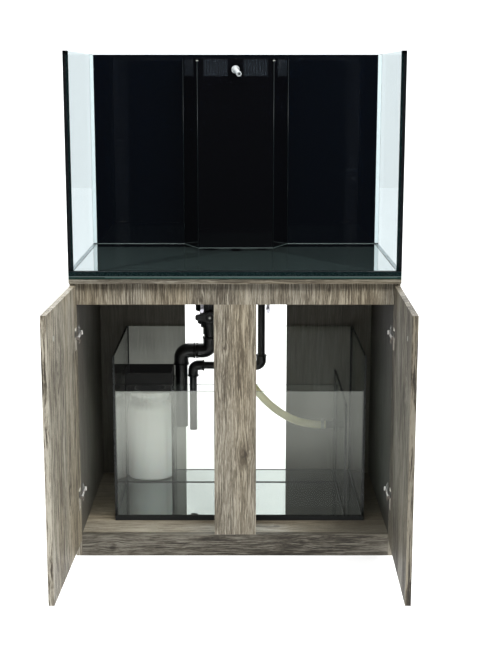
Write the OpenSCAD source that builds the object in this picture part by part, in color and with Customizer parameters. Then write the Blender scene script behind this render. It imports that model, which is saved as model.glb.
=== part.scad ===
// Rimless aquarium with a rear overflow box, on a two-door cabinet that holds a sump.
// Millimetres. X runs to the right, Y to the back, Z up. The origin is on the ground, under the
// middle of the cabinet top.

/* [Tank] */
// Outside width of the tank and of the cabinet top
tank_w = 914; // [880:1:950]
// Outside depth of the tank and of the cabinet top
tank_d = 610; // [600:1:640]
// Height of the tank glass
tank_h = 605; // [560:1:640]
// Thickness of the tank glass
glass_t = 12; // [10:0.5:15]
// Thickness of the levelling mat under the tank
mat_t = 3; // [2:0.5:6]

/* [Overflow box] */
// Half width of the overflow's flat front plate
weir_front_half = 117; // [112:1:125]
// Half width of the overflow where it meets the back glass
weir_back_half = 165; // [155:1:175]
// Distance from the overflow's front to the inside of the back glass
weir_d = 105; // [100:1:112]
// Gap from the top of the overflow to the tank rim
weir_drop = 13; // [8:1:20]
// Height of the comb windows
comb_h = 44; // [30:1:50]
// Width of one comb slot
slot_w = 4; // [3:0.5:5]
// Distance between comb slots
slot_pitch = 9; // [8:0.5:10]

/* [Cabinet] */
// Height of the cabinet, ground to top
cabinet_h = 813; // [800:1:830]
// Thickness of the cabinet boards
board_t = 18; // [16:0.5:20]
// Distance from the top's front edge back to the carcass front
setback = 17.5; // [17.5:0.5:22]
// Height of the apron under the top
apron_h = 61; // [50:1:80]
// Height of the base rail, which is also the height of the cabinet floor
plinth_h = 64; // [50:1:80]
// Width of the centre stile
stile_w = 118; // [100:1:130]
// Width of the open gap between the two back panels
back_gap = 330; // [280:1:360]

/* [Doors] */
// Thickness of the doors
door_t = 15; // [14.5:0.5:15]
// Height of the doors
door_h = 741; // [700:1:741]
// Gap between a closed door and the underside of the top
door_top_gap = 6; // [4:1:12]
// Gap between the two closed doors
door_mid_gap = 3; // [2:0.5:6]
// How far the left door stands open, in degrees
left_open = 91.6; // [0:0.1:95]
// How far the right door stands open, in degrees
right_open = 88.6; // [0:0.1:95]

/* [Plumbing] */
// Outside diameter of the main drain pipe
drain_od = 40; // [38:1:42]
// Outside diameter of the emergency drain pipe
spare_od = 24; // [20:1:26]
// Distance of the two drains from the middle
drain_x = 82; // [80:1:86]
// Turn of the valve handle, 0 for level and 90 for upright
valve_turn = 0; // [0:1:90]

/* [Sump] */
// Width of the sump
sump_w = 734; // [720:1:740]
// Depth of the sump
sump_d = 451; // [445:1:455]
// Height of the sump's side and back glass above the cabinet floor
sump_h = 498; // [480:1:520]
// Height of the low front glass above the cabinet floor
sump_front_h = 393; // [370:1:420]
// Thickness of the sump glass
sump_t = 6; // [5:0.5:8]

/* [Hidden] */

// Colours
wood = "#a59b8c";
black = "#15171a";
clear = [0.8, 0.9, 0.9, 0.35];
pvc = "#1d1f24";
steel = "#c9cbce";
felt = "#dfe3df";

// Clearances
fit_gap = 0.1;       // a pipe in its socket
run_gap = 0.05;      // a pin in its eye, on the radius
safe_gap = 0.3;      // bodies that pass each other

// Levels, from the ground up
floor_z = plinth_h;
apron_z = cabinet_h - board_t - apron_h;
under_top_z = cabinet_h - board_t;
tank_z = cabinet_h + mat_t;
tank_floor_z = tank_z + glass_t;
rim_z = tank_z + tank_h;
weir_top_z = rim_z - weir_drop;

// Planes, from front to back
tank_front_y = -tank_d / 2;
tank_back_y = tank_d / 2;
carcass_y = tank_front_y + setback;
back_in_y = tank_back_y - board_t;
glass_back_y = tank_back_y - glass_t;
weir_y = glass_back_y - weir_d;
side_in_x = tank_w / 2 - board_t;

// Overflow box
weir_t = 6;
comb_z = weir_top_z - 6 - comb_h;
front_slots = 8;
front_comb_x = 61;
side_slots = 6;
weir_slant = atan2(weir_d, weir_back_half - weir_front_half);
weir_mitre = weir_t * tan(weir_slant / 2);
weir_side_len = norm([weir_back_half - weir_front_half, weir_d]);

// Bulkheads: [x, y, pipe diameter]
drain_y = 250;
return_y = 222;
return_od = 25;
drain_at = [-drain_x, drain_y];
spare_at = [drain_x, drain_y];
return_at = [0, return_y];
pipe_wall = 2.4;
bulk_lip = 5;
bulk_lip_t = 5;
nut_h = 14;
top_hole_gap = 8;

// Pipe runs below the tank
drain_run_z = 487;
drain_drop_x = -176;
drain_end_z = 236;
drain_sock_od = 47;
spare_run_z = 438;
spare_drop_x = -138;
spare_end_z = 224;
spare_sock_od = 32;
valve_z = 606;

// Return nozzle on the overflow's front
nozzle_z = 1375;
nozzle_ball_r = 9;
nozzle_spin = 38;
nozzle_tilt = 34;

// Doors. A door is drawn shut, then turned about its pivot.
door_gap = 2.5;
door_in_y = carcass_y - door_gap;
door_out_y = door_in_y - door_t;
door_edge_x = tank_w / 2 - 1;
door_w = door_edge_x - door_mid_gap / 2;
door_z = under_top_z - door_top_gap - door_h;
pivot_x = door_edge_x - 6.9;
pivot_y = door_in_y - 10;
cup_r = 17.5;
cup_x = door_edge_x - 2.5 - cup_r;
cup_deep = 13;
cup_zs = [door_z + 132, door_z + door_h - 147];
pin_r = 1.25;
eye_r = 2.6;
arm_reach = 13.6;
arm_half = 1.5;
arm_w = 10;
flange_h = 62;
flange_w = 22;
flange_t = 1;
arm_sweep = norm([arm_reach + arm_half, pivot_y - door_in_y - flange_t]) + safe_gap;

// Push latches beside the centre stile
latch_x = 92;
latch_z = apron_z - 19;
latch_r = 5;
plunger_r = 3;
strike_t = 1;
strike_r = 7;

// Sump
sump_cx = 12;
sump_x0 = sump_cx - sump_w / 2;
sump_x1 = sump_cx + sump_w / 2;
sump_y0 = -171;
sump_y1 = sump_y0 + sump_d;
mat_h = 8;
sump_glass_z = floor_z + mat_h;
sump_floor_z = sump_glass_z + sump_t;
sump_rim_z = floor_z + sump_h;
sump_front_z = floor_z + sump_front_h;
partition_y = 141;
partition_z = 400;
left_baffle_x = -203;
right_baffle_x = 320;
right_baffle_z = 418;

// Filter sock and the trays that hold it
sock_x = (sump_x0 + sump_t + left_baffle_x) / 2;
sock_y = (partition_y + sump_t + sump_y1 - sump_t) / 2;
sock_half_w = 70;
sock_half_d = 60;
sock_z0 = 83;
sock_wall = 3;
ledge = 6;
ring_z = 369;
ring_t = 5;
ring_plate_w = left_baffle_x - sump_x0 - sump_t - 2;
ring_plate_d = 113;
collar_r = 54;
collar_h = 24;
neck_r = 57;
tray_z0 = partition_z;
tray_z1 = 437;
tray_t = 3;

// Return hose: hangs from the return barb and ends at a fitting on the right baffle.
hose_od = 25;
hose_top_z = 690;
hose_end_x = 290;
hose_end_y = 205;
hose_end_z = 252;
hose_route = [[0, 222, 690], [0, 222, 660], [0, 221, 630], [0, 220, 600], [0, 218, 570], [2, 215, 540],
    [6, 212, 510], [13, 209, 480], [22, 206, 450], [34, 205, 420], [49, 205, 391], [68, 205, 364],
    [90, 205, 338], [115, 205, 314], [142, 205, 293], [172, 205, 275], [204, 205, 262],
    [238, 205, 255], [266, 205, 252], [290, 205, 252]];

// ---------- Helpers ----------

module tube(r_out, r_in, h) {
    difference() {
        cylinder(r = r_out, h = h, $fn = 64);
        translate([0, 0, -1]) cylinder(r = r_in, h = h + 2, $fn = 64);
    }
}

// A board from one corner to the opposite corner
module board(lo, hi) {
    translate(lo) cube(hi - lo);
}

// A ring with ribs round it, for a hand-tightened nut
module ribbed_ring(r_out, r_in, h, ribs) {
    difference() {
        union() {
            cylinder(r = r_out - 2, h = h, $fn = 64);
            for (i = [0 : ribs - 1]) {
                rotate([0, 0, i * 360 / ribs])
                translate([r_out - 3, -2, 0])
                cube([3, 4, h]);
            }
        }
        translate([0, 0, -1]) cylinder(r = r_in, h = h + 2, $fn = 64);
    }
}

// A right-angle elbow. Its corner is at the origin, with one mouth facing +Z and one facing +X.
module elbow(r_sock, r_pipe, reach) {
    bend = r_sock + 1;
    mouth = reach - bend;
    difference() {
        union() {
            translate([bend, 0, bend])
            rotate([90, 0, 0])
            rotate([0, 0, 180])
            rotate_extrude(angle = 90, $fn = 64)
            translate([bend, 0])
            circle(r = r_sock, $fn = 48);
            translate([0, 0, bend]) cylinder(r = r_sock, h = mouth, $fn = 48);
            translate([bend, 0, 0]) rotate([0, 90, 0]) cylinder(r = r_sock, h = mouth, $fn = 48);
        }
        translate([0, 0, bend]) cylinder(r = r_pipe + fit_gap, h = mouth + 1, $fn = 48);
        translate([bend, 0, 0]) rotate([0, 90, 0])
        cylinder(r = r_pipe + fit_gap, h = mouth + 1, $fn = 48);
        translate([bend, 0, bend])
        rotate([90, 0, 0])
        rotate([0, 0, 180])
        rotate_extrude(angle = 90, $fn = 64)
        translate([bend, 0])
        circle(r = r_pipe - pipe_wall, $fn = 48);
    }
}

// Copy what is drawn on the left to the right as well
module both_sides() {
    children();
    mirror([1, 0, 0]) children();
}

// Oval outline, by formula
function oval(a, b, n) = [for (i = [0 : n - 1]) [a * cos(360 * i / n), b * sin(360 * i / n)]];

// Frames along a route, and the rings swept along it
function unit(v) = v / norm(v);
function route_dir(p, i) = unit(p[min(i + 1, len(p) - 1)] - p[max(i - 1, 0)]);
function ring_at(c, d, r, n) =
    let (side = unit(cross(d, [0, 1, 0])), up = cross(side, d))
    [for (k = [0 : n - 1]) c + r * cos(360 * k / n) * side + r * sin(360 * k / n) * up];

module swept_tube(p, r, n) {
    m = len(p);
    points = [for (i = [0 : m - 1]) each ring_at(p[i], route_dir(p, i), r, n)];
    walls = [for (i = [0 : m - 2]) for (k = [0 : n - 1])
        [i * n + k, i * n + (k + 1) % n, (i + 1) * n + (k + 1) % n, (i + 1) * n + k]];
    start_cap = [for (k = [n - 1 : -1 : 0]) k];
    end_cap = [for (k = [0 : n - 1]) (m - 1) * n + k];
    polyhedron(points = points, faces = concat([start_cap], walls, [end_cap]));
}

// ---------- Tank ----------

module tank_bottom() {
    color(clear)
    difference() {
        board([-tank_w / 2, tank_front_y, tank_z], [tank_w / 2, tank_back_y, tank_floor_z]);
        for (b = [[drain_at, drain_od], [spare_at, spare_od], [return_at, return_od]]) {
            translate([b[0][0], b[0][1], tank_z - 1])
            cylinder(r = b[1] / 2 + pipe_wall, h = glass_t + 2, $fn = 64);
        }
    }
}

module tank_front() {
    color(clear)
    board([-tank_w / 2, tank_front_y, tank_floor_z], [tank_w / 2, tank_front_y + glass_t, rim_z]);
}

module tank_back() {
    color(black)
    board([-tank_w / 2, glass_back_y, tank_floor_z], [tank_w / 2, tank_back_y, rim_z]);
}

module tank_left() {
    color(clear)
    board([-tank_w / 2, tank_front_y + glass_t, tank_floor_z],
        [-tank_w / 2 + glass_t, glass_back_y, rim_z]);
}

module tank_right() {
    mirror([1, 0, 0]) tank_left();
}

// Black beads in the front corners and along the front of the floor
module tank_silicone() {
    bead = 5;
    in_x = tank_w / 2 - glass_t;
    in_y = tank_front_y + glass_t;
    corner = [[0, 0], [bead, 0], [0, bead]];
    color(black)
    union() {
        both_sides() translate([-in_x, in_y, tank_floor_z])
        linear_extrude(rim_z - tank_floor_z) polygon(corner);
        translate([-in_x, in_y, tank_floor_z])
        rotate([90, 0, 90])
        linear_extrude(2 * in_x)
        polygon(corner);
    }
}

module levelling_mat() {
    color(black)
    difference() {
        board([-tank_w / 2, tank_front_y, cabinet_h], [tank_w / 2, tank_back_y, tank_z]);
        top_holes(cabinet_h - 1, mat_t + 2);
    }
}

// Clearance holes for the three bulkheads
module top_holes(z, h) {
    for (b = [[drain_at, drain_od], [spare_at, spare_od], [return_at, return_od]]) {
        translate([b[0][0], b[0][1], z])
        cylinder(r = b[1] / 2 + pipe_wall + top_hole_gap, h = h, $fn = 64);
    }
}

// ---------- Overflow box ----------

module comb_slots(count, length) {
    for (i = [0 : count - 1]) {
        translate([(i - (count - 1) / 2) * slot_pitch - slot_w / 2, -1, 0])
        cube([slot_w, length, comb_h]);
    }
}

module overflow_front() {
    front = weir_front_half;
    inner = front - weir_mitre;
    color(black)
    difference() {
        translate([0, weir_y, tank_floor_z])
        linear_extrude(weir_top_z - tank_floor_z)
        polygon([[-front, 0], [front, 0], [inner, weir_t], [-inner, weir_t]]);
        both_sides() translate([-front_comb_x, weir_y, comb_z]) comb_slots(front_slots, weir_t + 2);
        translate([0, weir_y - 1, nozzle_z]) rotate([-90, 0, 0])
        cylinder(r = 8, h = weir_t + 2, $fn = 48);
    }
}

module overflow_left() {
    back_inner = weir_back_half - weir_t / sin(weir_slant);
    color(black)
    difference() {
        translate([0, weir_y, tank_floor_z])
        linear_extrude(weir_top_z - tank_floor_z)
        polygon([[-weir_front_half, 0], [-weir_front_half + weir_mitre, weir_t],
            [-back_inner, weir_d], [-weir_back_half, weir_d]]);
        translate([-weir_front_half, weir_y, comb_z])
        rotate([0, 0, 180 - weir_slant])
        translate([weir_side_len / 2, -weir_t - 1, 0])
        comb_slots(side_slots, weir_t + 4);
    }
}

module overflow_right() {
    mirror([1, 0, 0]) overflow_left();
}

// Bulkhead bodies, seated in the tank floor
module bulkhead(at, od) {
    r = od / 2;
    translate([at[0], at[1], 0])
    difference() {
        union() {
            translate([0, 0, tank_floor_z])
            cylinder(r = r + pipe_wall + bulk_lip, h = bulk_lip_t, $fn = 64);
            translate([0, 0, under_top_z - 6])
            cylinder(r = r + pipe_wall, h = tank_floor_z - under_top_z + 6, $fn = 64);
        }
        translate([0, 0, under_top_z - 7]) cylinder(r = r + fit_gap, h = 80, $fn = 64);
    }
}

module bulkheads() {
    color(pvc)
    union() {
        bulkhead(drain_at, drain_od);
        bulkhead(spare_at, spare_od);
        bulkhead(return_at, return_od);
    }
}

module bulkhead_nuts() {
    color(pvc)
    for (b = [[drain_at, drain_od], [spare_at, spare_od], [return_at, return_od]]) {
        r = b[1] / 2 + pipe_wall;
        translate([b[0][0], b[0][1], tank_z - nut_h])
        tube(r + bulk_lip, r, nut_h);
    }
}

// A standpipe with a slotted strainer at its top
module standpipe(at, od, top_z) {
    r = od / 2;
    z0 = tank_floor_z - 10;
    slot_count = 8;
    translate([at[0], at[1], 0])
    difference() {
        translate([0, 0, z0]) cylinder(r = r, h = top_z - z0, $fn = 64);
        translate([0, 0, z0 - 1]) cylinder(r = r - pipe_wall, h = top_z - z0 - 2, $fn = 64);
        for (i = [0 : slot_count / 2 - 1]) {
            rotate([0, 0, i * 360 / slot_count])
            translate([-r - 1, -1.5, top_z - 50])
            cube([od + 2, 3, 40]);
        }
    }
}

module drain_standpipe() {
    color(pvc) standpipe(drain_at, drain_od, 1290);
}

module emergency_standpipe() {
    color(pvc) standpipe(spare_at, spare_od, 1345);
}

// Riser and the spigot that passes through the overflow's front
module return_riser() {
    r = return_od / 2;
    spigot_r = 8;
    z0 = tank_floor_z - 10;
    color(pvc)
    difference() {
        union() {
            translate([0, return_y, z0]) cylinder(r = r, h = nozzle_z + 14 - z0, $fn = 64);
            translate([0, weir_y - 8, nozzle_z]) rotate([-90, 0, 0])
            cylinder(r = spigot_r, h = return_y - weir_y + 8, $fn = 48);
            translate([0, weir_y - 6, nozzle_z]) rotate([-90, 0, 0])
            cylinder(r = spigot_r + 5, h = 6, $fn = 48);
        }
        translate([0, return_y, z0 - 1])
        cylinder(r = r - pipe_wall, h = nozzle_z + 4 - z0, $fn = 64);
        translate([0, weir_y - 9, nozzle_z]) rotate([-90, 0, 0])
        cylinder(r = spigot_r - 2, h = return_y - weir_y + 9, $fn = 48);
    }
}

// The collar turns on the spigot; the nozzle tilts in the collar.
collar_y = weir_y - 8 - safe_gap;
ball_y = collar_y - 12;

module nozzle_place() {
    translate([0, ball_y, nozzle_z]) rotate([0, -nozzle_spin, 0]) children();
}

module nozzle_collar() {
    cup_out = nozzle_ball_r + 3;
    color(steel)
    nozzle_place()
    difference() {
        union() {
            translate([0, 12, 0]) rotate([90, 0, 0]) cylinder(r = cup_out, h = 8, $fn = 48);
            both_sides() translate([-cup_out, -4, -4]) cube([2.4, 10, 8]);
        }
        sphere(r = nozzle_ball_r + safe_gap, $fn = 48);
        translate([0, 13, 0]) rotate([90, 0, 0]) cylinder(r = 6, h = 10, $fn = 48);
        rotate([0, 90, 0]) translate([0, 0, -20]) cylinder(r = 1.5 + run_gap, h = 40, $fn = 32);
    }
}

module return_nozzle() {
    color(steel)
    nozzle_place()
    rotate([nozzle_tilt, 0, 0])
    difference() {
        union() {
            sphere(r = nozzle_ball_r, $fn = 48);
            rotate([90, 0, 0]) cylinder(r = 7, h = 28, $fn = 48);
            translate([0, -26, 0]) rotate([90, 0, 0]) cylinder(r = 8, h = 6, $fn = 48);
            rotate([0, 90, 0]) translate([0, 0, -11.8]) cylinder(r = 1.5, h = 23.6, $fn = 32);
        }
        translate([0, 3, 0]) rotate([90, 0, 0]) cylinder(r = 5, h = 40, $fn = 48);
    }
}

// ---------- Cabinet ----------

module cabinet_top() {
    color(wood)
    difference() {
        board([-tank_w / 2, tank_front_y, under_top_z], [tank_w / 2, tank_back_y, cabinet_h]);
        top_holes(under_top_z - 1, board_t + 2);
    }
}

module left_side() {
    color(wood) board([-tank_w / 2, carcass_y, 0], [-side_in_x, tank_back_y, under_top_z]);
}

module right_side() {
    mirror([1, 0, 0]) left_side();
}

module cabinet_floor() {
    color(wood)
    board([-side_in_x, carcass_y + board_t, floor_z - board_t], [side_in_x, back_in_y, floor_z]);
}

module apron() {
    color(wood)
    board([-side_in_x, carcass_y, apron_z], [side_in_x, carcass_y + board_t, under_top_z]);
}

module base_rail() {
    color(wood) board([-side_in_x, carcass_y, 0], [side_in_x, carcass_y + board_t, floor_z]);
}

module centre_stile() {
    color(wood)
    board([-stile_w / 2, carcass_y, floor_z], [stile_w / 2, carcass_y + board_t, apron_z]);
}

module left_back() {
    color(wood) board([-side_in_x, back_in_y, floor_z], [-back_gap / 2, tank_back_y, under_top_z]);
}

module right_back() {
    mirror([1, 0, 0]) left_back();
}

module back_stretcher() {
    color(wood)
    board([-back_gap / 2, back_in_y, under_top_z - 90], [back_gap / 2, tank_back_y, under_top_z]);
}

// Rear rail, with the bearer that runs forward from it under the middle of the floor
module rear_base_rail() {
    color(wood)
    union() {
        board([-side_in_x, back_in_y, 0], [side_in_x, tank_back_y, floor_z]);
        board([-board_t / 2, carcass_y + board_t, 0], [board_t / 2, back_in_y, floor_z - board_t]);
    }
}

// ---------- Doors and hinges, drawn shut on the left ----------

// Turn a door's pieces open about the left pivot
module swing(angle) {
    translate([-pivot_x, pivot_y, 0])
    rotate([0, 0, -angle])
    translate([pivot_x, -pivot_y, 0])
    children();
}

module shut_door() {
    difference() {
        board([-door_edge_x, door_out_y, door_z], [-door_mid_gap / 2, door_in_y, door_z + door_h]);
        for (z = cup_zs) {
            translate([-cup_x, door_in_y + 1, z])
            rotate([90, 0, 0])
            cylinder(r = cup_r, h = cup_deep + 1, $fn = 64);
        }
    }
}

// Cup, flange, pin and two screws of each hinge
module shut_cups() {
    for (z = cup_zs) {
        difference() {
            union() {
                translate([-cup_x, door_in_y, z])
                rotate([90, 0, 0])
                cylinder(r = cup_r, h = cup_deep, $fn = 64);
                translate([-cup_x - flange_w / 2 + 2, door_in_y, z - flange_h / 2])
                cube([flange_w, flange_t, flange_h]);
                for (s = [-1, 1]) {
                    translate([-cup_x + 2, door_in_y, z + s * 24])
                    rotate([-90, 0, 0])
                    cylinder(r = 3.5, h = flange_t + 0.8, $fn = 24);
                }
            }
            translate([-pivot_x, pivot_y, z - arm_w / 2 - safe_gap])
            cylinder(r = arm_sweep, h = arm_w + 2 * safe_gap, $fn = 64);
        }
        translate([-pivot_x, pivot_y, z - 8]) cylinder(r = pin_r, h = 16, $fn = 32);
    }
}

// Gooseneck arm, its plate on the side board, and the plate's screws
module hinge_arms() {
    plate_x = -side_in_x;
    arm_x = -pivot_x + arm_reach;
    for (z = cup_zs) {
        difference() {
            union() {
                translate([-pivot_x, pivot_y, z - arm_w / 2])
                cylinder(r = eye_r, h = arm_w, $fn = 48);
                board([-pivot_x, pivot_y - arm_half, z - arm_w / 2],
                    [arm_x + arm_half, pivot_y + arm_half, z + arm_w / 2]);
                board([arm_x - arm_half, pivot_y - arm_half, z - arm_w / 2],
                    [arm_x + arm_half, carcass_y + 62, z + arm_w / 2]);
                board([plate_x, carcass_y + 20, z - arm_w / 2],
                    [arm_x, carcass_y + 58, z + arm_w / 2]);
                board([plate_x, carcass_y + 28, z - 26], [plate_x + 1.8, carcass_y + 46, z + 26]);
                for (s = [-1, 1]) {
                    translate([plate_x, carcass_y + 37, z + s * 18])
                    rotate([0, 90, 0])
                    cylinder(r = 4, h = 3.6, $fn = 24);
                }
            }
            translate([-pivot_x, pivot_y, z - arm_w])
            cylinder(r = pin_r + run_gap, h = 2 * arm_w, $fn = 32);
        }
    }
}

module left_door() {
    color(wood) swing(left_open) shut_door();
}

module right_door() {
    color(wood) mirror([1, 0, 0]) swing(right_open) shut_door();
}

module left_hinge_cups() {
    color(steel) swing(left_open) shut_cups();
}

module right_hinge_cups() {
    color(steel) mirror([1, 0, 0]) swing(right_open) shut_cups();
}

module left_hinge_arms() {
    color(steel) hinge_arms();
}

module right_hinge_arms() {
    color(steel) mirror([1, 0, 0]) hinge_arms();
}

// ---------- Push latches ----------

// Barrel under the apron, with the strap that holds it to the apron's back
module latch() {
    barrel_l = 44;
    difference() {
        union() {
            translate([-latch_x, carcass_y + 0.5, latch_z]) rotate([-90, 0, 0])
            cylinder(r = latch_r, h = barrel_l, $fn = 40);
            board([-latch_x - 4.5, carcass_y + board_t, latch_z], [-latch_x + 4.5, carcass_y + board_t + 3, apron_z + 34]);
            translate([-latch_x, carcass_y + board_t + 3, apron_z + 24]) rotate([-90, 0, 0])
            cylinder(r = 3, h = 1.5, $fn = 24);
        }
        translate([-latch_x, carcass_y - 1, latch_z]) rotate([-90, 0, 0])
        cylinder(r = plunger_r + run_gap, h = barrel_l - 4, $fn = 40);
    }
}

// Plunger, with the round pad that meets the strike
module plunger() {
    tip_y = door_in_y + strike_t + safe_gap;
    translate([-latch_x, tip_y, latch_z]) rotate([-90, 0, 0])
    cylinder(r = plunger_r, h = 38, $fn = 40);
}

module left_latch() {
    color("white") latch();
}

module right_latch() {
    color("white") mirror([1, 0, 0]) latch();
}

module left_plunger() {
    color("white") plunger();
}

module right_plunger() {
    color("white") mirror([1, 0, 0]) plunger();
}

module shut_strike() {
    translate([-latch_x, door_in_y, latch_z]) rotate([-90, 0, 0])
    cylinder(r = strike_r, h = strike_t, $fn = 40);
}

module latch_strikes_left() {
    color(steel) swing(left_open) shut_strike();
}

module latch_strikes_right() {
    color(steel) mirror([1, 0, 0]) swing(right_open) shut_strike();
}

// ---------- Drain plumbing ----------

valve_bottom_z = 542;
valve_top_z = 668;
lower_nut_z = 578;
upper_nut_z = 620;
body_r = 34;
lower_nut_r = 41;
upper_nut_r = 47;

// Straight-through body with its two tails and the stem boss
module valve_body() {
    stem_r = 15;
    tail_r = 31;
    tail_top_z = 644;
    rim_clear_z = sump_rim_z + 4;
    boss_front_y = drain_y - 50;
    color(pvc)
    difference() {
        union() {
            translate([drain_at[0], drain_y, valve_bottom_z])
            cylinder(r = drain_sock_od / 2, h = rim_clear_z - valve_bottom_z, $fn = 64);
            translate([drain_at[0], drain_y, rim_clear_z])
            cylinder(r = tail_r, h = lower_nut_z - rim_clear_z, $fn = 64);
            translate([drain_at[0], drain_y, lower_nut_z])
            cylinder(r = body_r, h = tail_top_z - lower_nut_z, $fn = 64);
            translate([drain_at[0], drain_y, tail_top_z])
            cylinder(r = tail_r, h = valve_top_z - tail_top_z, $fn = 64);
            translate([drain_at[0], boss_front_y, valve_z]) rotate([-90, 0, 0])
            cylinder(r = stem_r, h = 40, $fn = 48);
        }
        translate([drain_at[0], drain_y, valve_bottom_z - 1])
        cylinder(r = drain_od / 2 + fit_gap, h = 27, $fn = 64);
        translate([drain_at[0], drain_y, valve_top_z - 26])
        cylinder(r = drain_od / 2 + fit_gap, h = 27, $fn = 64);
        translate([drain_at[0], drain_y, valve_bottom_z])
        cylinder(r = 14, h = valve_top_z - valve_bottom_z, $fn = 64);
        translate([drain_at[0], boss_front_y - 1, valve_z]) rotate([-90, 0, 0])
        cylinder(r = 6 + run_gap, h = 20, $fn = 40);
    }
}

// The two hand-tightened nuts, each cut away where the stem boss passes
module union_nuts() {
    boss_half = 17;
    color(pvc)
    union() {
        translate([drain_at[0], drain_y, lower_nut_z])
        difference() {
            ribbed_ring(lower_nut_r, body_r, 17, 20);
            translate([-boss_half, -60, 12]) cube([2 * boss_half, 60, 10]);
        }
        translate([drain_at[0], drain_y, upper_nut_z])
        difference() {
            ribbed_ring(upper_nut_r, body_r, 34, 22);
            translate([-boss_half, -60, -1]) cube([2 * boss_half, 60, 3]);
        }
    }
}

// Wing handle with its stem
module valve_handle() {
    hub_y = drain_y - 50 - safe_gap;
    hub_t = 16;
    color(pvc)
    translate([drain_at[0], hub_y, valve_z])
    rotate([0, -valve_turn, 0])
    union() {
        rotate([90, 0, 0]) cylinder(r = 19, h = hub_t, $fn = 48);
        rotate([-90, 0, 0]) cylinder(r = 6, h = 17, $fn = 40);
        rotate([90, 0, 0])
        linear_extrude(hub_t - 3)
        polygon([[-46, 4], [-44, 8], [0, 15], [44, 8], [46, 4], [46, -4], [44, -8], [0, -15], [-44, -8], [-46, -4]]);
    }
}

// Straight lengths between the fittings
module drain_pipes() {
    r = drain_od / 2;
    sock = drain_sock_od / 2 + 1;
    color(pvc)
    union() {
        translate([drain_at[0], drain_y, valve_top_z - 25])
        tube(r, r - pipe_wall, tank_floor_z - 10 - valve_top_z + 25);
        translate([drain_at[0], drain_y, drain_run_z + sock])
        tube(r, r - pipe_wall, valve_bottom_z + 25 - drain_run_z - sock);
        translate([drain_drop_x + sock, drain_y, drain_run_z])
        rotate([0, 90, 0])
        tube(r, r - pipe_wall, drain_at[0] - drain_drop_x - 2 * sock);
        translate([drain_drop_x, drain_y, drain_end_z])
        tube(r, r - pipe_wall, drain_run_z - sock - drain_end_z);
    }
}

module drain_elbows() {
    reach = 46;
    r_sock = drain_sock_od / 2;
    color(pvc)
    union() {
        translate([drain_at[0], drain_y, drain_run_z]) mirror([1, 0, 0])
        elbow(r_sock, drain_od / 2, reach);
        translate([drain_drop_x, drain_y, drain_run_z]) mirror([0, 0, 1])
        elbow(r_sock, drain_od / 2, reach);
    }
}

module emergency_pipes() {
    r = spare_od / 2;
    sock = spare_sock_od / 2 + 1;
    color(pvc)
    union() {
        translate([spare_at[0], drain_y, spare_run_z + sock])
        tube(r, r - pipe_wall, tank_floor_z - 10 - spare_run_z - sock);
        translate([spare_drop_x + sock, drain_y, spare_run_z])
        rotate([0, 90, 0])
        tube(r, r - pipe_wall, spare_at[0] - spare_drop_x - 2 * sock);
        translate([spare_drop_x, drain_y, spare_end_z])
        tube(r, r - pipe_wall, spare_run_z - sock - spare_end_z);
    }
}

module emergency_elbows() {
    reach = 36;
    r_sock = spare_sock_od / 2;
    color(pvc)
    union() {
        translate([spare_at[0], drain_y, spare_run_z]) mirror([1, 0, 0])
        elbow(r_sock, spare_od / 2, reach);
        translate([spare_drop_x, drain_y, spare_run_z]) mirror([0, 0, 1])
        elbow(r_sock, spare_od / 2, reach);
    }
}

// ---------- Return hose ----------

module return_hose() {
    color("beige") swept_tube(hose_route, hose_od / 2, 12);
}

// Barb under the return bulkhead, and the elbow fitting on the right baffle
module hose_barbs() {
    r = return_od / 2;
    end_len = right_baffle_x - hose_end_x;
    color(pvc)
    union() {
        translate([0, return_y, hose_top_z]) tube(r, r - 4, tank_floor_z - 10 - hose_top_z);
        translate([hose_end_x, hose_end_y, hose_end_z]) rotate([0, 90, 0]) tube(13, 8, end_len);
        translate([right_baffle_x - 8, hose_end_y, hose_end_z]) rotate([0, 90, 0]) tube(19, 13, 8);
    }
}

module hose_clamps() {
    clamp_r = hose_od / 2 + 1.2;
    color(steel)
    union() {
        translate([0, return_y, hose_top_z - 16]) tube(clamp_r, hose_od / 2 + 0.2, 10);
        translate([hose_end_x - 16, hose_end_y, hose_end_z]) rotate([0, 90, 0])
        tube(clamp_r, hose_od / 2 + 0.2, 10);
    }
}

// ---------- Sump ----------

// Foam mat and the bottom glass
module sump_base() {
    color(black)
    board([sump_x0, sump_y0, floor_z], [sump_x1, sump_y1, sump_floor_z]);
}

module sump_front() {
    color(clear)
    board([sump_x0 + sump_t, sump_y0, sump_floor_z], [sump_x1 - sump_t, sump_y0 + sump_t, sump_front_z]);
}

module sump_back() {
    color(clear)
    board([sump_x0 + sump_t, sump_y1 - sump_t, sump_floor_z], [sump_x1 - sump_t, sump_y1, sump_rim_z]);
}

module sump_left() {
    color(clear) board([sump_x0, sump_y0, sump_floor_z], [sump_x0 + sump_t, sump_y1, sump_rim_z]);
}

module sump_right() {
    color(clear) board([sump_x1 - sump_t, sump_y0, sump_floor_z], [sump_x1, sump_y1, sump_rim_z]);
}

module sump_partition() {
    color(clear)
    board([sump_x0 + sump_t, partition_y, sump_floor_z], [right_baffle_x, partition_y + sump_t, partition_z]);
}

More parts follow.
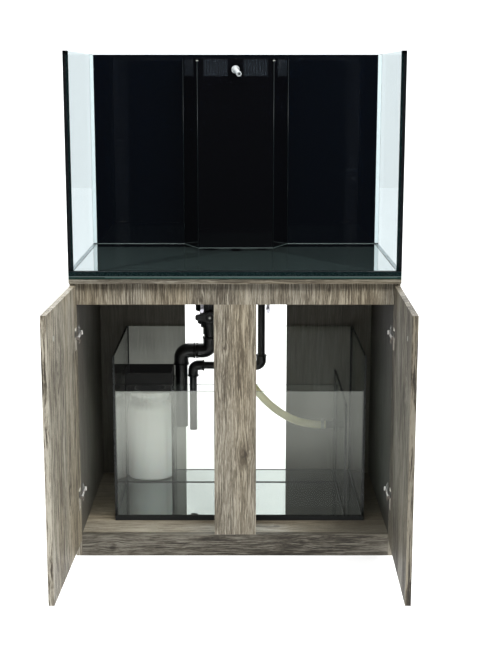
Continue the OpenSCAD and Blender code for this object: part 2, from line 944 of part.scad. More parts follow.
// The baffle beside the sock, the baffle of the right-hand chamber, and the ledges round the sock
module sump_baffles() {
    y0 = partition_y + sump_t;
    y1 = sump_y1 - sump_t;
    x0 = sump_x0 + sump_t;
    color(clear)
    union() {
        board([left_baffle_x, y0, sump_floor_z], [left_baffle_x + sump_t, y1, partition_z]);
        board([left_baffle_x - ledge, y0, ring_z - ledge], [left_baffle_x, y1, ring_z]);
        board([x0, y0, ring_z - ledge], [x0 + ledge, y1, ring_z]);
        board([x0, y1 - ledge, partition_z - ledge], [left_baffle_x, y1, partition_z]);
        difference() {
            board([right_baffle_x, sump_y0 + sump_t, sump_floor_z],
                [right_baffle_x + sump_t, sump_y1 - sump_t, right_baffle_z]);
            translate([right_baffle_x - 1, hose_end_y, hose_end_z]) rotate([0, 90, 0])
            cylinder(r = 8, h = sump_t + 2, $fn = 48);
        }
    }
}

// Open black tray that rests on the partition and the left baffle, over the sock
module sock_tray() {
    x0 = sump_x0 + sump_t + 1;
    x1 = left_baffle_x + 3;
    y0 = partition_y;
    y1 = sump_y1 - sump_t - 1;
    notch_w = 72;
    color(black)
    difference() {
        board([x0, y0, tray_z0], [x1, y1, tray_z1]);
        board([x0 + tray_t, y0 + tray_t, tray_z0 + tray_t], [x1 - tray_t, y1 - tray_t, tray_z1 + 1]);
        for (j = [0 : 2]) {
            translate([x0 + 22, y0 + 32 + j * 30, tray_z0 - 1]) cube([x1 - x0 - 44, 10, tray_t + 2]);
        }
        translate([sock_x + 7 - notch_w / 2, y0 - 1, tray_z0 - 1]) cube([notch_w, tray_t + 2, 3.5]);
    }
}

// Flat ring plate that hangs on the two ledges, with the collar that the sock is tied round
module sock_ring() {
    color(black)
    translate([sock_x, sock_y, 0])
    difference() {
        union() {
            translate([-ring_plate_w / 2, -ring_plate_d / 2, ring_z])
            cube([ring_plate_w, ring_plate_d, ring_t]);
            translate([0, 0, ring_z - collar_h]) cylinder(r = collar_r, h = collar_h, $fn = 64);
        }
        translate([0, 0, ring_z - collar_h - 1])
        cylinder(r = collar_r - 3, h = collar_h + ring_t + 2, $fn = 64);
    }
}

// Bag outline lofted through oval slices, drawn in by a margin and run past its neck by a lead
module sock_shape(margin, lead) {
    slices = [[sock_z0 + margin, 54, 45], [sock_z0 + 7, 64, 54], [sock_z0 + 27, 68.5, 58.5],
        [200, sock_half_w, sock_half_d], [320, 69, 59.5], [335, 66, 58.5],
        [ring_z - collar_h + 3, neck_r, neck_r], [ring_z + lead, neck_r, neck_r]];
    thin = 0.01;
    for (i = [0 : len(slices) - 2]) {
        hull() {
            for (s = [slices[i], slices[i + 1]]) {
                translate([0, 0, min(s[0], ring_z + lead - thin)])
                linear_extrude(thin)
                polygon(oval(s[1] - margin, s[2] - margin, 32));
            }
        }
    }
}

// Felt bag, open at its neck, where it is tied round the collar
module filter_sock() {
    color(felt)
    translate([sock_x, sock_y, 0])
    difference() {
        sock_shape(0, 0);
        sock_shape(sock_wall, 1);
        translate([0, 0, ring_z - collar_h]) cylinder(r = collar_r + fit_gap, h = collar_h + 1, $fn = 64);
    }
}

tank_bottom();
tank_front();
tank_back();
tank_left();
tank_right();
tank_silicone();
levelling_mat();
overflow_front();
overflow_left();
overflow_right();
drain_standpipe();
emergency_standpipe();
return_riser();
bulkheads();
bulkhead_nuts();
nozzle_collar();
return_nozzle();
cabinet_top();
left_side();
right_side();
cabinet_floor();
apron();
base_rail();
centre_stile();
left_back();
right_back();
back_stretcher();
rear_base_rail();
left_door();
right_door();
left_hinge_cups();
right_hinge_cups();
left_hinge_arms();
right_hinge_arms();
left_latch();
right_latch();
left_plunger();
right_plunger();
latch_strikes_left();
latch_strikes_right();
valve_body();
union_nuts();
valve_handle();
drain_pipes();
drain_elbows();
emergency_pipes();
emergency_elbows();
return_hose();
hose_barbs();
hose_clamps();
sump_base();
sump_front();
sump_back();
sump_left();
sump_right();
sump_partition();
sump_baffles();
sock_tray();
sock_ring();
filter_sock();
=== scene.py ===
"""Looks of a rimless aquarium on a two-door cabinet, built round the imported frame. Metres, Z up."""

import math

import bmesh
import bpy
from mathutils import Matrix, Vector, noise


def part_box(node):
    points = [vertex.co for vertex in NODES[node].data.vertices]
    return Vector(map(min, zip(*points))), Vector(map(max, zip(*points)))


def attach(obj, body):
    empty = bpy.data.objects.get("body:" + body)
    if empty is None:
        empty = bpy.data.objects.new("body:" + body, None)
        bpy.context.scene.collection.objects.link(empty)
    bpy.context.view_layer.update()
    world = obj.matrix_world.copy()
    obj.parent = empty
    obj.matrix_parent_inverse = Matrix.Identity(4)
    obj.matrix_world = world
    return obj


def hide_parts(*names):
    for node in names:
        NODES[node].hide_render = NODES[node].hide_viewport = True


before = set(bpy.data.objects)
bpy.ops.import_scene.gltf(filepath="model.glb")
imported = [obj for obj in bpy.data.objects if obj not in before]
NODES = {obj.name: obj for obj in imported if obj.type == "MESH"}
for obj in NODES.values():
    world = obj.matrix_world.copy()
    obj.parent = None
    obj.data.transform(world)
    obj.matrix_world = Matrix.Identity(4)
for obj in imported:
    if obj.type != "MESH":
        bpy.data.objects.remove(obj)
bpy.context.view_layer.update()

scene = bpy.context.scene
scene.view_settings.view_transform = "Standard"
scene.cycles.transparent_max_bounces = 40
scene.cycles.max_bounces = 16
scene.cycles.caustics_reflective = False
scene.cycles.caustics_refractive = False


# --- Camera

CAMERA_AT = (0.0166, -3.691, 1.3482)
CAMERA_DOWN = 11.05     # degrees below level
CAMERA_LENS = 69.76     # mm, on a 36 mm sensor


def make_camera():
    data = bpy.data.cameras.new("camera")
    data.sensor_width = 36.0
    data.lens = CAMERA_LENS
    cam = bpy.data.objects.new("camera", data)
    scene.collection.objects.link(cam)
    tilt = Matrix.Rotation(math.radians(90 - CAMERA_DOWN), 4, "X")
    cam.matrix_world = Matrix.Translation(CAMERA_AT) @ tilt
    scene.camera = cam


make_camera()


# --- Shader building

class Tree:
    """A material and the few calls that build its nodes."""

    SOCKETS = {"colour": "Base Color", "rough": "Roughness", "metal": "Metallic", "normal": "Normal",
               "spec": "Specular IOR Level", "coat": "Coat Weight", "coat_rough": "Coat Roughness",
               "sheen": "Sheen Weight", "sheen_rough": "Sheen Roughness", "sub": "Subsurface Weight",
               "sub_scale": "Subsurface Scale"}

    def __init__(self, name):
        self.mat = bpy.data.materials.new(name)
        self.mat.use_nodes = True
        self.nt = self.mat.node_tree
        self.nt.nodes.clear()
        self.end = self.nt.nodes.new("ShaderNodeOutputMaterial")

    def node(self, kind, values=(), **settings):
        n = self.nt.nodes.new("ShaderNode" + kind)
        for key, value in settings.items():
            setattr(n, key, value)
        for key, value in dict(values).items():
            if isinstance(value, bpy.types.NodeSocket):
                self.nt.links.new(value, n.inputs[key])
            else:
                n.inputs[key].default_value = value
        return n

    def math(self, op, a, b=0.0, c=0.0, clamp=False):
        return self.node("Math", {0: a, 1: b, 2: c}, operation=op, use_clamp=clamp).outputs[0]

    def vec(self, op, a, b=(0, 0, 0)):
        return self.node("VectorMath", {0: a, 1: b}, operation=op).outputs[0]

    def dot(self, a, b):
        return self.node("VectorMath", {0: a, 1: b}, operation="DOT_PRODUCT").outputs["Value"]

    def length(self, v):
        return self.node("VectorMath", {0: v}, operation="LENGTH").outputs["Value"]

    def scaled(self, v, by):
        return self.node("VectorMath", {0: v, "Scale": by}, operation="SCALE").outputs[0]

    def axis(self, v, which):
        return self.node("SeparateXYZ", {0: v}).outputs["XYZ".index(which)]

    def noise(self, v, scale, detail=2.0, rough=0.5, warp=0.0, colour=False):
        n = self.node("TexNoise", {"Vector": v, "Scale": scale, "Detail": detail, "Roughness": rough,
                                   "Distortion": warp})
        return n.outputs[1 if colour else 0]

    def step(self, x, lo, hi, to_lo=0.0, to_hi=1.0):
        """A smooth change from one value to another between two places."""
        n = self.node("MapRange", {0: x, 1: lo, 2: hi, 3: to_lo, 4: to_hi}, interpolation_type="SMOOTHSTEP")
        return n.outputs[0]

    def ramp(self, x, stops):
        n = self.node("ValToRGB", {0: x})
        band = n.color_ramp
        while len(band.elements) < len(stops):
            band.elements.new(0.5)
        for e, (at, colour) in zip(band.elements, stops):
            e.position = at
            e.color = (*colour, 1)
        return n.outputs[0]

    def mix(self, fac, a, b, how="MIX"):
        n = self.node("Mix", data_type="RGBA", blend_type=how)
        for i, value in ((0, fac), (6, a), (7, b)):
            if isinstance(value, bpy.types.NodeSocket):
                self.nt.links.new(value, n.inputs[i])
            elif i:
                n.inputs[i].default_value = (*value, 1)
            else:
                n.inputs[i].default_value = value
        return n.outputs[2]

    def shaded(self, colour, share):
        """A colour times a share of the light, which is a number or a socket."""
        if isinstance(share, bpy.types.NodeSocket):
            grey = self.node("CombineXYZ", {0: share, 1: share, 2: share}).outputs[0]
        else:
            grey = (share, share, share)
        return self.mix(1.0, colour, grey, "MULTIPLY")

    def bump(self, height, depth, strength):
        return self.node("Bump", {"Height": height, "Distance": depth, "Strength": strength}).outputs[0]

    def place(self):
        """Position in the row frame, in metres, fixed to the piece."""
        return self.node("TexCoord").outputs["Object"]

    def facing(self):
        """Normal fixed to the piece."""
        return self.node("TexCoord").outputs["Normal"]

    def slant(self):
        """0 where a face is seen square on, and 1 where it is seen edge on."""
        return self.node("LayerWeight", {"Blend": 0.5}).outputs["Facing"]

    def principled(self, **values):
        return self.node("BsdfPrincipled", {self.SOCKETS[k]: v for k, v in values.items()}).outputs[0]

    def emission(self, strength, colour=(1, 1, 1, 1)):
        return self.node("Emission", {"Color": colour, "Strength": strength}).outputs[0]

    def glowing(self, skin, strength, colour=(1, 1, 1, 1)):
        """A skin with a faint glow of its own, painted light that stands in for the bright room around the real
        one.
        """
        return self.node("AddShader", {0: skin, 1: self.emission(strength, colour)}).outputs[0]

    def blend(self, fac, a, b):
        return self.node("MixShader", {0: fac, 1: a, 2: b}).outputs[0]

    def done(self, shader):
        self.nt.links.new(shader, self.end.inputs[0])
        self.mat.cycles.emission_sampling = "NONE"
        return self.mat


# --- Materials

DARK = (0.046, 0.038, 0.027)
BROWN = (0.128, 0.109, 0.080)
GREY = (0.262, 0.236, 0.184)
PALE = (0.440, 0.412, 0.340)
WARM_CAST = (0.94, 0.85, 0.70)
PORE = (0.040, 0.033, 0.025)
KNOT = (0.045, 0.032, 0.020)
PLAIN_INNER = (0.20, 0.185, 0.155)

# How far each layer of the grain, from broad to fine, pulls between dark and pale.
BROAD, STREAK, LINE, HAIR, GROWTH, CREST = 0.74, 0.46, 1.04, 0.70, 0.045, 0.20
STREAK_SCALE, LINE_SCALE, HAIR_SCALE, PORE_SCALE = 78.0, 370.0, 640.0, 900.0

EULER = 2.718
KNOT_REACH = 3.2        # how far a knot bends the grain, in its own sizes
KNOT_PULL = -0.72


def wood(name, along, offset, knots=(), lift=1.0, contrast=1.0, wide=1.0, polish=0.0, worn=(), inner=None,
         outside=None):
    """Driftwood laminate. along is the grain's axis, offset shifts the pattern, knots are places in the row
    frame with their sizes, lift scales the colour as painted light and shade for each board, wide scales the
    pattern, and polish takes from the roughness. worn lists where painted shade darkens the board along an
    axis: axis, from, to, share left. inner is the direction that an inner face looks in, where the colour goes
    flatter and takes painted shade, its share of the light. outside is the direction that a door's show face
    looks in, with its own lift of painted light and its own contrast."""
    t = Tree(name)
    p = t.place()

    def drawn(share):
        """Factors that draw a pattern out along the grain, the longer the smaller the share."""
        return tuple(share if a == along else 1 for a in "XYZ")

    def wander(shape, scale, detail, reach):
        """How far the grain strays sideways."""
        field = t.noise(t.vec("MULTIPLY", shifted, shape), scale, detail, colour=True)
        return t.vec("MULTIPLY", t.vec("SUBTRACT", field, (0.5, 0.5, 0.5)), tuple(reach * a for a in away))

    squeeze, away = drawn(0.12), drawn(0)
    shifted = t.vec("ADD", t.scaled(p, 1.0 / wide), offset)
    drift = wander(squeeze, 5.0, 2.0, 0.022)
    wriggle = wander(drawn(0.35), 45.0, 1.0, 0.006)
    flow = t.vec("ADD", t.vec("ADD", shifted, drift), wriggle)

    knot_dark = None
    for at, size in knots:
        d = t.vec("SUBTRACT", p, at)
        r = t.length(t.vec("MULTIPLY", d, drawn(0.62)))
        fall = t.math("POWER", t.math("DIVIDE", r, size * KNOT_REACH), 2.0)
        pull = t.math("POWER", EULER, t.math("MULTIPLY", fall, -1.0))
        flow = t.vec("ADD", flow, t.scaled(t.vec("MULTIPLY", d, away), t.math("MULTIPLY", pull, KNOT_PULL)))
        core = t.step(r, size * 0.30, size * 1.10, 1.0, 0.0)
        ring = t.math("SINE", t.math("MULTIPLY", r, 6.28 / (size * 0.30)))
        ring = t.math("MULTIPLY", t.step(r, size * 0.8, size * 2.4, 1.0, 0.0),
                      t.math("MULTIPLY_ADD", ring, 0.18, 0.2))
        spot = t.math("MAXIMUM", core, ring)
        knot_dark = spot if knot_dark is None else t.math("MAXIMUM", knot_dark, spot)

    flow = t.vec("MULTIPLY", flow, squeeze)
    long_flow = t.vec("MULTIPLY", flow, drawn(0.26))
    broad = t.noise(t.vec("MULTIPLY", shifted, drawn(0.4)), 9.0, 3.0, 0.6)
    streak = t.noise(long_flow, STREAK_SCALE, 3.0, 0.62)
    line = t.noise(long_flow, LINE_SCALE, 2.0, 0.6)
    hair = t.noise(flow, HAIR_SCALE, 3.0, 0.7)
    growth = t.math("SINE", t.math("MULTIPLY", t.noise(flow, 7.0, 1.0), 95.0))
    grain = 0.5
    for layer, middle, weight in ((broad, 0.5, BROAD), (streak, 0.5, STREAK), (line, 0.5, LINE),
                                  (hair, 0.5, HAIR), (growth, 0.0, GROWTH)):
        grain = t.math("MULTIPLY_ADD", t.math("SUBTRACT", layer, middle), weight * contrast, grain)
    crest = t.step(t.noise(long_flow, LINE_SCALE, 1.0, 0.5), 0.56, 0.66)
    grain = t.math("MULTIPLY_ADD", crest, CREST * contrast, grain)
    # Painted light: a door's show face takes its own lift, a brighter or darker copy of the wood, and its own
    # contrast.
    if outside is not None:
        looks, show_painted_light, show_contrast = outside
        out = t.step(t.dot(t.facing(), looks), 0.4, 0.8)
        spread = t.step(out, 0.0, 1.0, 1.0, show_contrast / contrast)
        grain = t.math("MULTIPLY_ADD", t.math("SUBTRACT", grain, 0.5), spread, 0.5)
        lift = t.step(out, 0.0, 1.0, lift, show_painted_light)

    colour = t.ramp(grain, [(0.08, DARK), (0.33, BROWN), (0.55, GREY), (0.80, PALE)])
    warm = t.step(t.noise(flow, 9.0, 1.0), 0.35, 0.7, 0.10, 0.70)
    colour = t.mix(warm, colour, WARM_CAST, "MULTIPLY")
    pores = t.step(t.noise(flow, PORE_SCALE, 2.0, 0.5), 0.60, 0.74)
    colour = t.mix(t.math("MULTIPLY", pores, 0.35), colour, PORE)
    if knot_dark is not None:
        colour = t.mix(t.math("MULTIPLY", knot_dark, 0.80, clamp=True), colour, KNOT)
    # Painted light and shade: lift scales the whole colour, a brighter or darker copy of the wood for each
    # board.
    colour = t.shaded(colour, lift)
    # Painted shade: each worn entry darkens the board along an axis, standing in for shadow.
    for axis, start, stop, left in worn:
        colour = t.shaded(colour, t.step(t.axis(p, axis), start, stop, 1.0, left))
    # Painted shade: faces that look along inner take a flatter colour and are darkened to their share of the
    # light.
    if inner is not None:
        looks, share = inner
        toward = t.step(t.dot(t.facing(), looks), 0.4, 0.8)
        colour = t.mix(toward, colour, t.shaded(t.mix(0.72, colour, PLAIN_INNER), share))

    relief = t.math("SUBTRACT", t.math("MULTIPLY_ADD", line, 0.6, hair), t.math("MULTIPLY", pores, 0.8))
    rough = t.math("MULTIPLY_ADD", grain, -0.16, 0.62 - polish)
    return t.done(t.principled(colour=colour, rough=rough, normal=t.bump(relief, 0.0005, 0.5), spec=0.35))


def mirror_share(t, least, power):
    """How much a polished sheet mirrors, from either side, by the angle it is seen at."""
    return t.math("MULTIPLY_ADD", t.math("POWER", t.slant(), power), 1.0 - least, least)


def glass(name, thin, tint, edge=(0.0015, 0.0075, 0.0080), arris=(0.012, 0.034, 0.031), least=0.04, power=5.0,
          film=(), painted_reflection_glow=0.0, clear_foot=False, grazing=None):
    """Float glass: clear through the faces that look along thin, dark green at the cut edges, and frosted at
    the arrises. film lists where a painted haze of reflected light builds up along an axis: axis, from, to and
    the shares there. bloom is the strength of that haze, a painted glow. clear_foot leaves the cut face
    underneath as clear as the pane.
    grazing is the tint at a low angle, where the light has the longest way through."""
    t = Tree(name)
    p = t.place()
    flat = t.math("ABSOLUTE", t.axis(t.facing(), thin))
    if clear_foot:
        flat = t.math("MAXIMUM", flat, t.math("MULTIPLY", t.axis(t.facing(), "Z"), -1.0))
    wiped = t.noise(t.vec("MULTIPLY", p, (1, 1, 0.5)), 7.0, 3.0, 0.6)
    mirror = t.node("BsdfGlossy", {"Color": (1, 1, 1, 1), "Roughness": t.step(wiped, 0.35, 0.75, 0.0, 0.002)})
    if grazing is None:
        through = (*tint, 1)
    else:
        through = t.mix(t.step(t.slant(), 0.70, 0.85), tint, grazing)
    clear = t.node("BsdfTransparent", {"Color": through}).outputs[0]
    # Painted reflection: where film asks for it, the pane glows instead of letting light through.
    if film:
        share = t.step(wiped, 0.25, 0.75, 0.75, 1.25)
        for axis, start, stop, at_start, at_stop in film:
            share = t.math("MULTIPLY", share, t.step(t.axis(p, axis), start, stop, at_start, at_stop))
        clear = t.blend(share, clear, t.emission(painted_reflection_glow, (0.96, 1.0, 0.90, 1)))
    pane = t.blend(mirror_share(t, least, power), clear, mirror.outputs[0])
    ground = t.noise(p, 260.0, 2.0)
    side = t.principled(colour=t.mix(ground, edge, tuple(1.9 * e + 0.002 for e in edge)),
                        rough=t.step(ground, 0.3, 0.7, 0.18, 0.32), spec=0.30,
                        normal=t.bump(ground, 0.0001, 0.3))
    frosted = t.principled(colour=t.mix(ground, arris, tuple(1.6 * c for c in arris)), rough=0.35, spec=0.6)
    eased = t.math("MULTIPLY", t.step(flat, 0.30, 0.50), t.step(flat, 0.80, 0.95, 1.0, 0.0))
    return t.done(t.blend(eased, t.blend(t.step(flat, 0.55, 0.75), side, pane), frosted))


def glass_over_black(name, foam_below):
    """The sump's bottom glass, nearly a mirror at a low angle, on its black foam."""
    t = Tree(name)
    p = t.place()
    cells = t.node("TexVoronoi", {"Vector": p, "Scale": 700.0}).outputs["Distance"]
    foam_skin = t.principled(colour=t.mix(cells, (0.012, 0.013, 0.013), (0.03, 0.032, 0.032)), rough=0.9,
                             spec=0.2, normal=t.bump(cells, 0.0004, 0.7))
    dust = t.noise(p, 40.0, 4.0, 0.65)
    body = t.principled(colour=t.mix(dust, (0.006, 0.008, 0.007), (0.022, 0.026, 0.024)), rough=0.9, spec=0.0)
    mirror = t.node("BsdfGlossy", {"Color": (0.93, 0.98, 0.97, 1),
                                   "Roughness": t.step(dust, 0.4, 0.8, 0.0, 0.001)}).outputs[0]
    polished = t.blend(mirror_share(t, 0.05, 0.5), body, mirror)
    height = t.step(t.axis(p, "Z"), foam_below - 0.0003, foam_below + 0.0003)
    return t.done(t.blend(height, foam_skin, polished))


def gloss_black(name, colour=(0.0008, 0.0016, 0.0036), rough=0.02, dust=0.004, spec=0.45, painted_glow=0.0):
    """A dark sheet, from polished to satin, with a wiped film and a few specks of dust."""
    t = Tree(name)
    p = t.place()
    film = t.noise(p, 9.0, 4.0, 0.6)
    specks = t.step(t.noise(p, 900.0, 1.0), 0.70, 0.80)
    shade = t.mix(t.math("MULTIPLY", specks, dust * 4), colour, (0.25, 0.25, 0.24))
    skin = t.principled(colour=shade, rough=t.step(film, 0.3, 0.75, rough, rough + 0.035), spec=spec,
                        normal=t.bump(t.noise(p, 12.0, 2.0), 0.0004, 0.12))
    # Painted light: an optional faint glow of its own, though the sheet is no lamp.
    if painted_glow:
        skin = t.glowing(skin, painted_glow)
    return t.done(skin)


def moulded(name, colour, rough=0.38, grain=0.00012, worn=(1.5, 1.5, 1.5), spec=0.5):
    """Moulded or extruded plastic with a fine skin and slightly paler scuffs."""
    t = Tree(name)
    p = t.place()
    cloud = t.noise(p, 22.0, 4.0, 0.6)
    skin = t.noise(p, 1500.0, 2.0, 0.6)
    scuff = t.step(t.noise(t.vec("MULTIPLY", p, (1, 1, 0.35)), 130.0, 4.0, 0.7), 0.60, 0.78)
    pale = tuple(min(c * w + 0.004, 1) for c, w in zip(colour, worn))
    shade = t.mix(t.math("MULTIPLY", cloud, 0.5), colour, tuple(0.75 * c for c in colour))
    shade = t.mix(t.math("MULTIPLY", scuff, 0.55), shade, pale)
    height = t.math("MULTIPLY_ADD", scuff, 0.4, skin)
    return t.done(t.principled(colour=shade, rough=t.step(cloud, 0.3, 0.7, rough - 0.06, rough + 0.10),
                               spec=spec, normal=t.bump(height, grain, 0.5)))


def plated(name, colour=(0.92, 0.91, 0.88), rough=0.24, metal=0.35, painted_shade_from=None, painted_light_and_shade=None):
    """Nickel-plated pressed steel with fine drawing lines, and painted shade further from the middle than
    painted_shade_from. shades holds the heights of the two hinges, the edges of a band of painted shade above
    each, the painted colour of the shaded part below the band, and the share of the light that is left in the
    band."""
    t = Tree(name)
    p = t.place()
    lines = t.noise(t.vec("MULTIPLY", p, (1, 1, 0.06)), 1600.0, 2.0, 0.6)
    cloud = t.noise(p, 60.0, 3.0, 0.6)
    shade = t.mix(t.math("MULTIPLY", cloud, 0.5), colour, tuple(0.78 * c for c in colour))
    # Painted shade: further from the middle than painted_shade_from the steel is darkened toward near black.
    if painted_shade_from is not None:
        out = t.math("ABSOLUTE", t.axis(p, "X"))
        shade = t.mix(t.step(out, painted_shade_from, painted_shade_from + 0.002, 0.0, 0.85), shade, (0.10, 0.10, 0.095))
    # Painted light and shade by height: above each hinge the steel keeps its colour at the top, is darkened to
    # its share in a band, and takes a darker colour lower down.
    if painted_light_and_shade is not None:
        (low, high), start, stop, below, left = painted_light_and_shade
        z = t.axis(p, "Z")
        upper = t.math("GREATER_THAN", z, (low + high) / 2)
        rise = t.math("SUBTRACT", z, t.math("MULTIPLY_ADD", upper, high - low, low))
        shade = t.mix(t.step(rise, stop - 0.001, stop + 0.001), t.shaded(shade, left), shade)
        shade = t.mix(t.step(rise, start - 0.001, start + 0.001), below, shade)
    return t.done(t.principled(colour=shade, metal=metal, rough=t.step(lines, 0.3, 0.7, rough, rough + 0.14),
                               normal=t.bump(lines, 0.00008, 0.4)))


def screen_cover(name):
    """Smoky clear plastic over the overflow's comb."""
    t = Tree(name)
    haze = t.noise(t.place(), 45.0, 3.0, 0.6)
    smoke = t.mix(haze, (0.0085, 0.0115, 0.0165), (0.014, 0.018, 0.024))
    skin = t.principled(colour=smoke, rough=0.35, spec=0.3)
    return t.done(t.blend(0.55, t.node("BsdfTransparent").outputs[0], skin))


def clear_joint(name):
    """Clear sealant in a butt joint, with a painted glow that stands in for the daylight the pane's thickness
    carries to it.
    """
    t = Tree(name)
    drag = t.noise(t.place(), 60.0, 3.0, 0.6)
    skin = t.principled(colour=t.mix(drag, (0.62, 0.68, 0.69), (0.70, 0.75, 0.76)), rough=0.4, spec=0.3)
    return t.done(t.glowing(skin, 0.48, (0.88, 0.98, 1.0, 1)))


def foam(name, colour, painted_glow=0.0):
    """Closed-cell foam."""
    t = Tree(name)
    p = t.place()
    cells = t.node("TexVoronoi", {"Vector": p, "Scale": 700.0}).outputs["Distance"]
    shade = t.mix(cells, colour, tuple(2.2 * c for c in colour))
    skin = t.principled(colour=shade, rough=0.9, spec=0.1, normal=t.bump(cells, 0.0004, 0.7))
    # Painted light: an optional faint glow of its own, though the foam is no lamp.
    if painted_glow:
        skin = t.glowing(skin, painted_glow, (0.80, 1.0, 0.97, 1))
    return t.done(skin)


def silicone(name):
    """Black sealant, drawn along by a finger."""
    t = Tree(name)
    drag = t.noise(t.place(), 90.0, 3.0, 0.6)
    colour = (0.0025, 0.0034, 0.0046)
    return t.done(t.principled(colour=t.mix(drag, colour, tuple(1.6 * c for c in colour)),
                               rough=t.step(drag, 0.3, 0.7, 0.40, 0.55), spec=0.22,
                               normal=t.bump(drag, 0.0002, 0.2)))


def felt(name, middle, rim):
    """Needled polyester felt: matted fibres, needle holes, a soft nap, a band of painted shadow under the rim
    that fades away from the middle, and a faint painted glow."""
    t = Tree(name)
    p = t.place()
    mat = t.noise(p, 260.0, 5.0, 0.75, 0.6)
    fibre = t.noise(t.vec("MULTIPLY", p, (1, 1, 3)), 1100.0, 3.0, 0.7, 1.4)
    holes = t.node("TexVoronoi", {"Vector": p, "Scale": 420.0}, feature="SMOOTH_F1").outputs["Distance"]
    cloud = t.noise(p, 14.0, 3.0, 0.6)
    shade = t.ramp(t.math("MULTIPLY_ADD", cloud, 0.45, t.math("MULTIPLY", mat, 0.5)),
                   [(0.25, (0.84, 0.87, 0.84)), (0.50, (0.93, 0.955, 0.93)), (0.75, (0.965, 0.98, 0.955))])
    # Painted shadow: a darkened band under the rim, strongest on the left and fading toward the right.
    z = t.axis(p, "Z")
    neck = t.math("MULTIPLY", t.step(z, rim - 0.062, rim - 0.036),
                  t.step(z, rim - 0.022, rim - 0.010, 1.0, 0.0))
    side = t.step(t.axis(p, "X"), middle - 0.055, middle + 0.045, 1.0, 0.25)
    shade = t.mix(t.math("MULTIPLY", neck, side), shade, (0.30, 0.30, 0.28))
    height = t.math("MULTIPLY_ADD", holes, 0.5, t.math("MULTIPLY_ADD", fibre, 0.6, mat))
    skin = t.principled(colour=shade, rough=0.95, spec=0.15, sheen=0.25, sheen_rough=0.6,
                        normal=t.bump(height, 0.0010, 0.55), sub=0.10, sub_scale=0.004)
    # Painted light: a faint glow of its own.
    return t.done(t.glowing(skin, 0.045, shade))


def vinyl(name):
    """Milky vinyl hose that yellows along its outside and lets some light through."""
    t = Tree(name)
    p = t.place()
    cloud = t.noise(p, 18.0, 3.0, 0.6)
    draw = t.noise(p, 210.0, 2.0)
    shade = t.ramp(cloud, [(0.30, (0.80, 0.77, 0.56)), (0.55, (0.90, 0.875, 0.69)),
                           (0.75, (0.96, 0.945, 0.80))])
    skin = t.principled(colour=shade, rough=t.step(draw, 0.3, 0.7, 0.20, 0.34), spec=0.5,
                        normal=t.bump(draw, 0.0002, 0.3), coat=0.3, coat_rough=0.15)
    body = t.node("BsdfTranslucent", {"Color": shade}).outputs[0]
    return t.done(t.blend(0.55, skin, body))


arms_low, arms_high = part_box("left_hinge_arms")
sock_low, sock_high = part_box("filter_sock")
HINGE_HEIGHTS = (arms_low.z + 0.026, arms_high.z - 0.026)
SUMP_CUT = dict(edge=(0.0020, 0.0030, 0.0026), arris=(0.0100, 0.0150, 0.0130))
SUMP_SIDE = (0.965, 0.985, 0.972)
SUMP_FACE = (0.985, 0.993, 0.984)

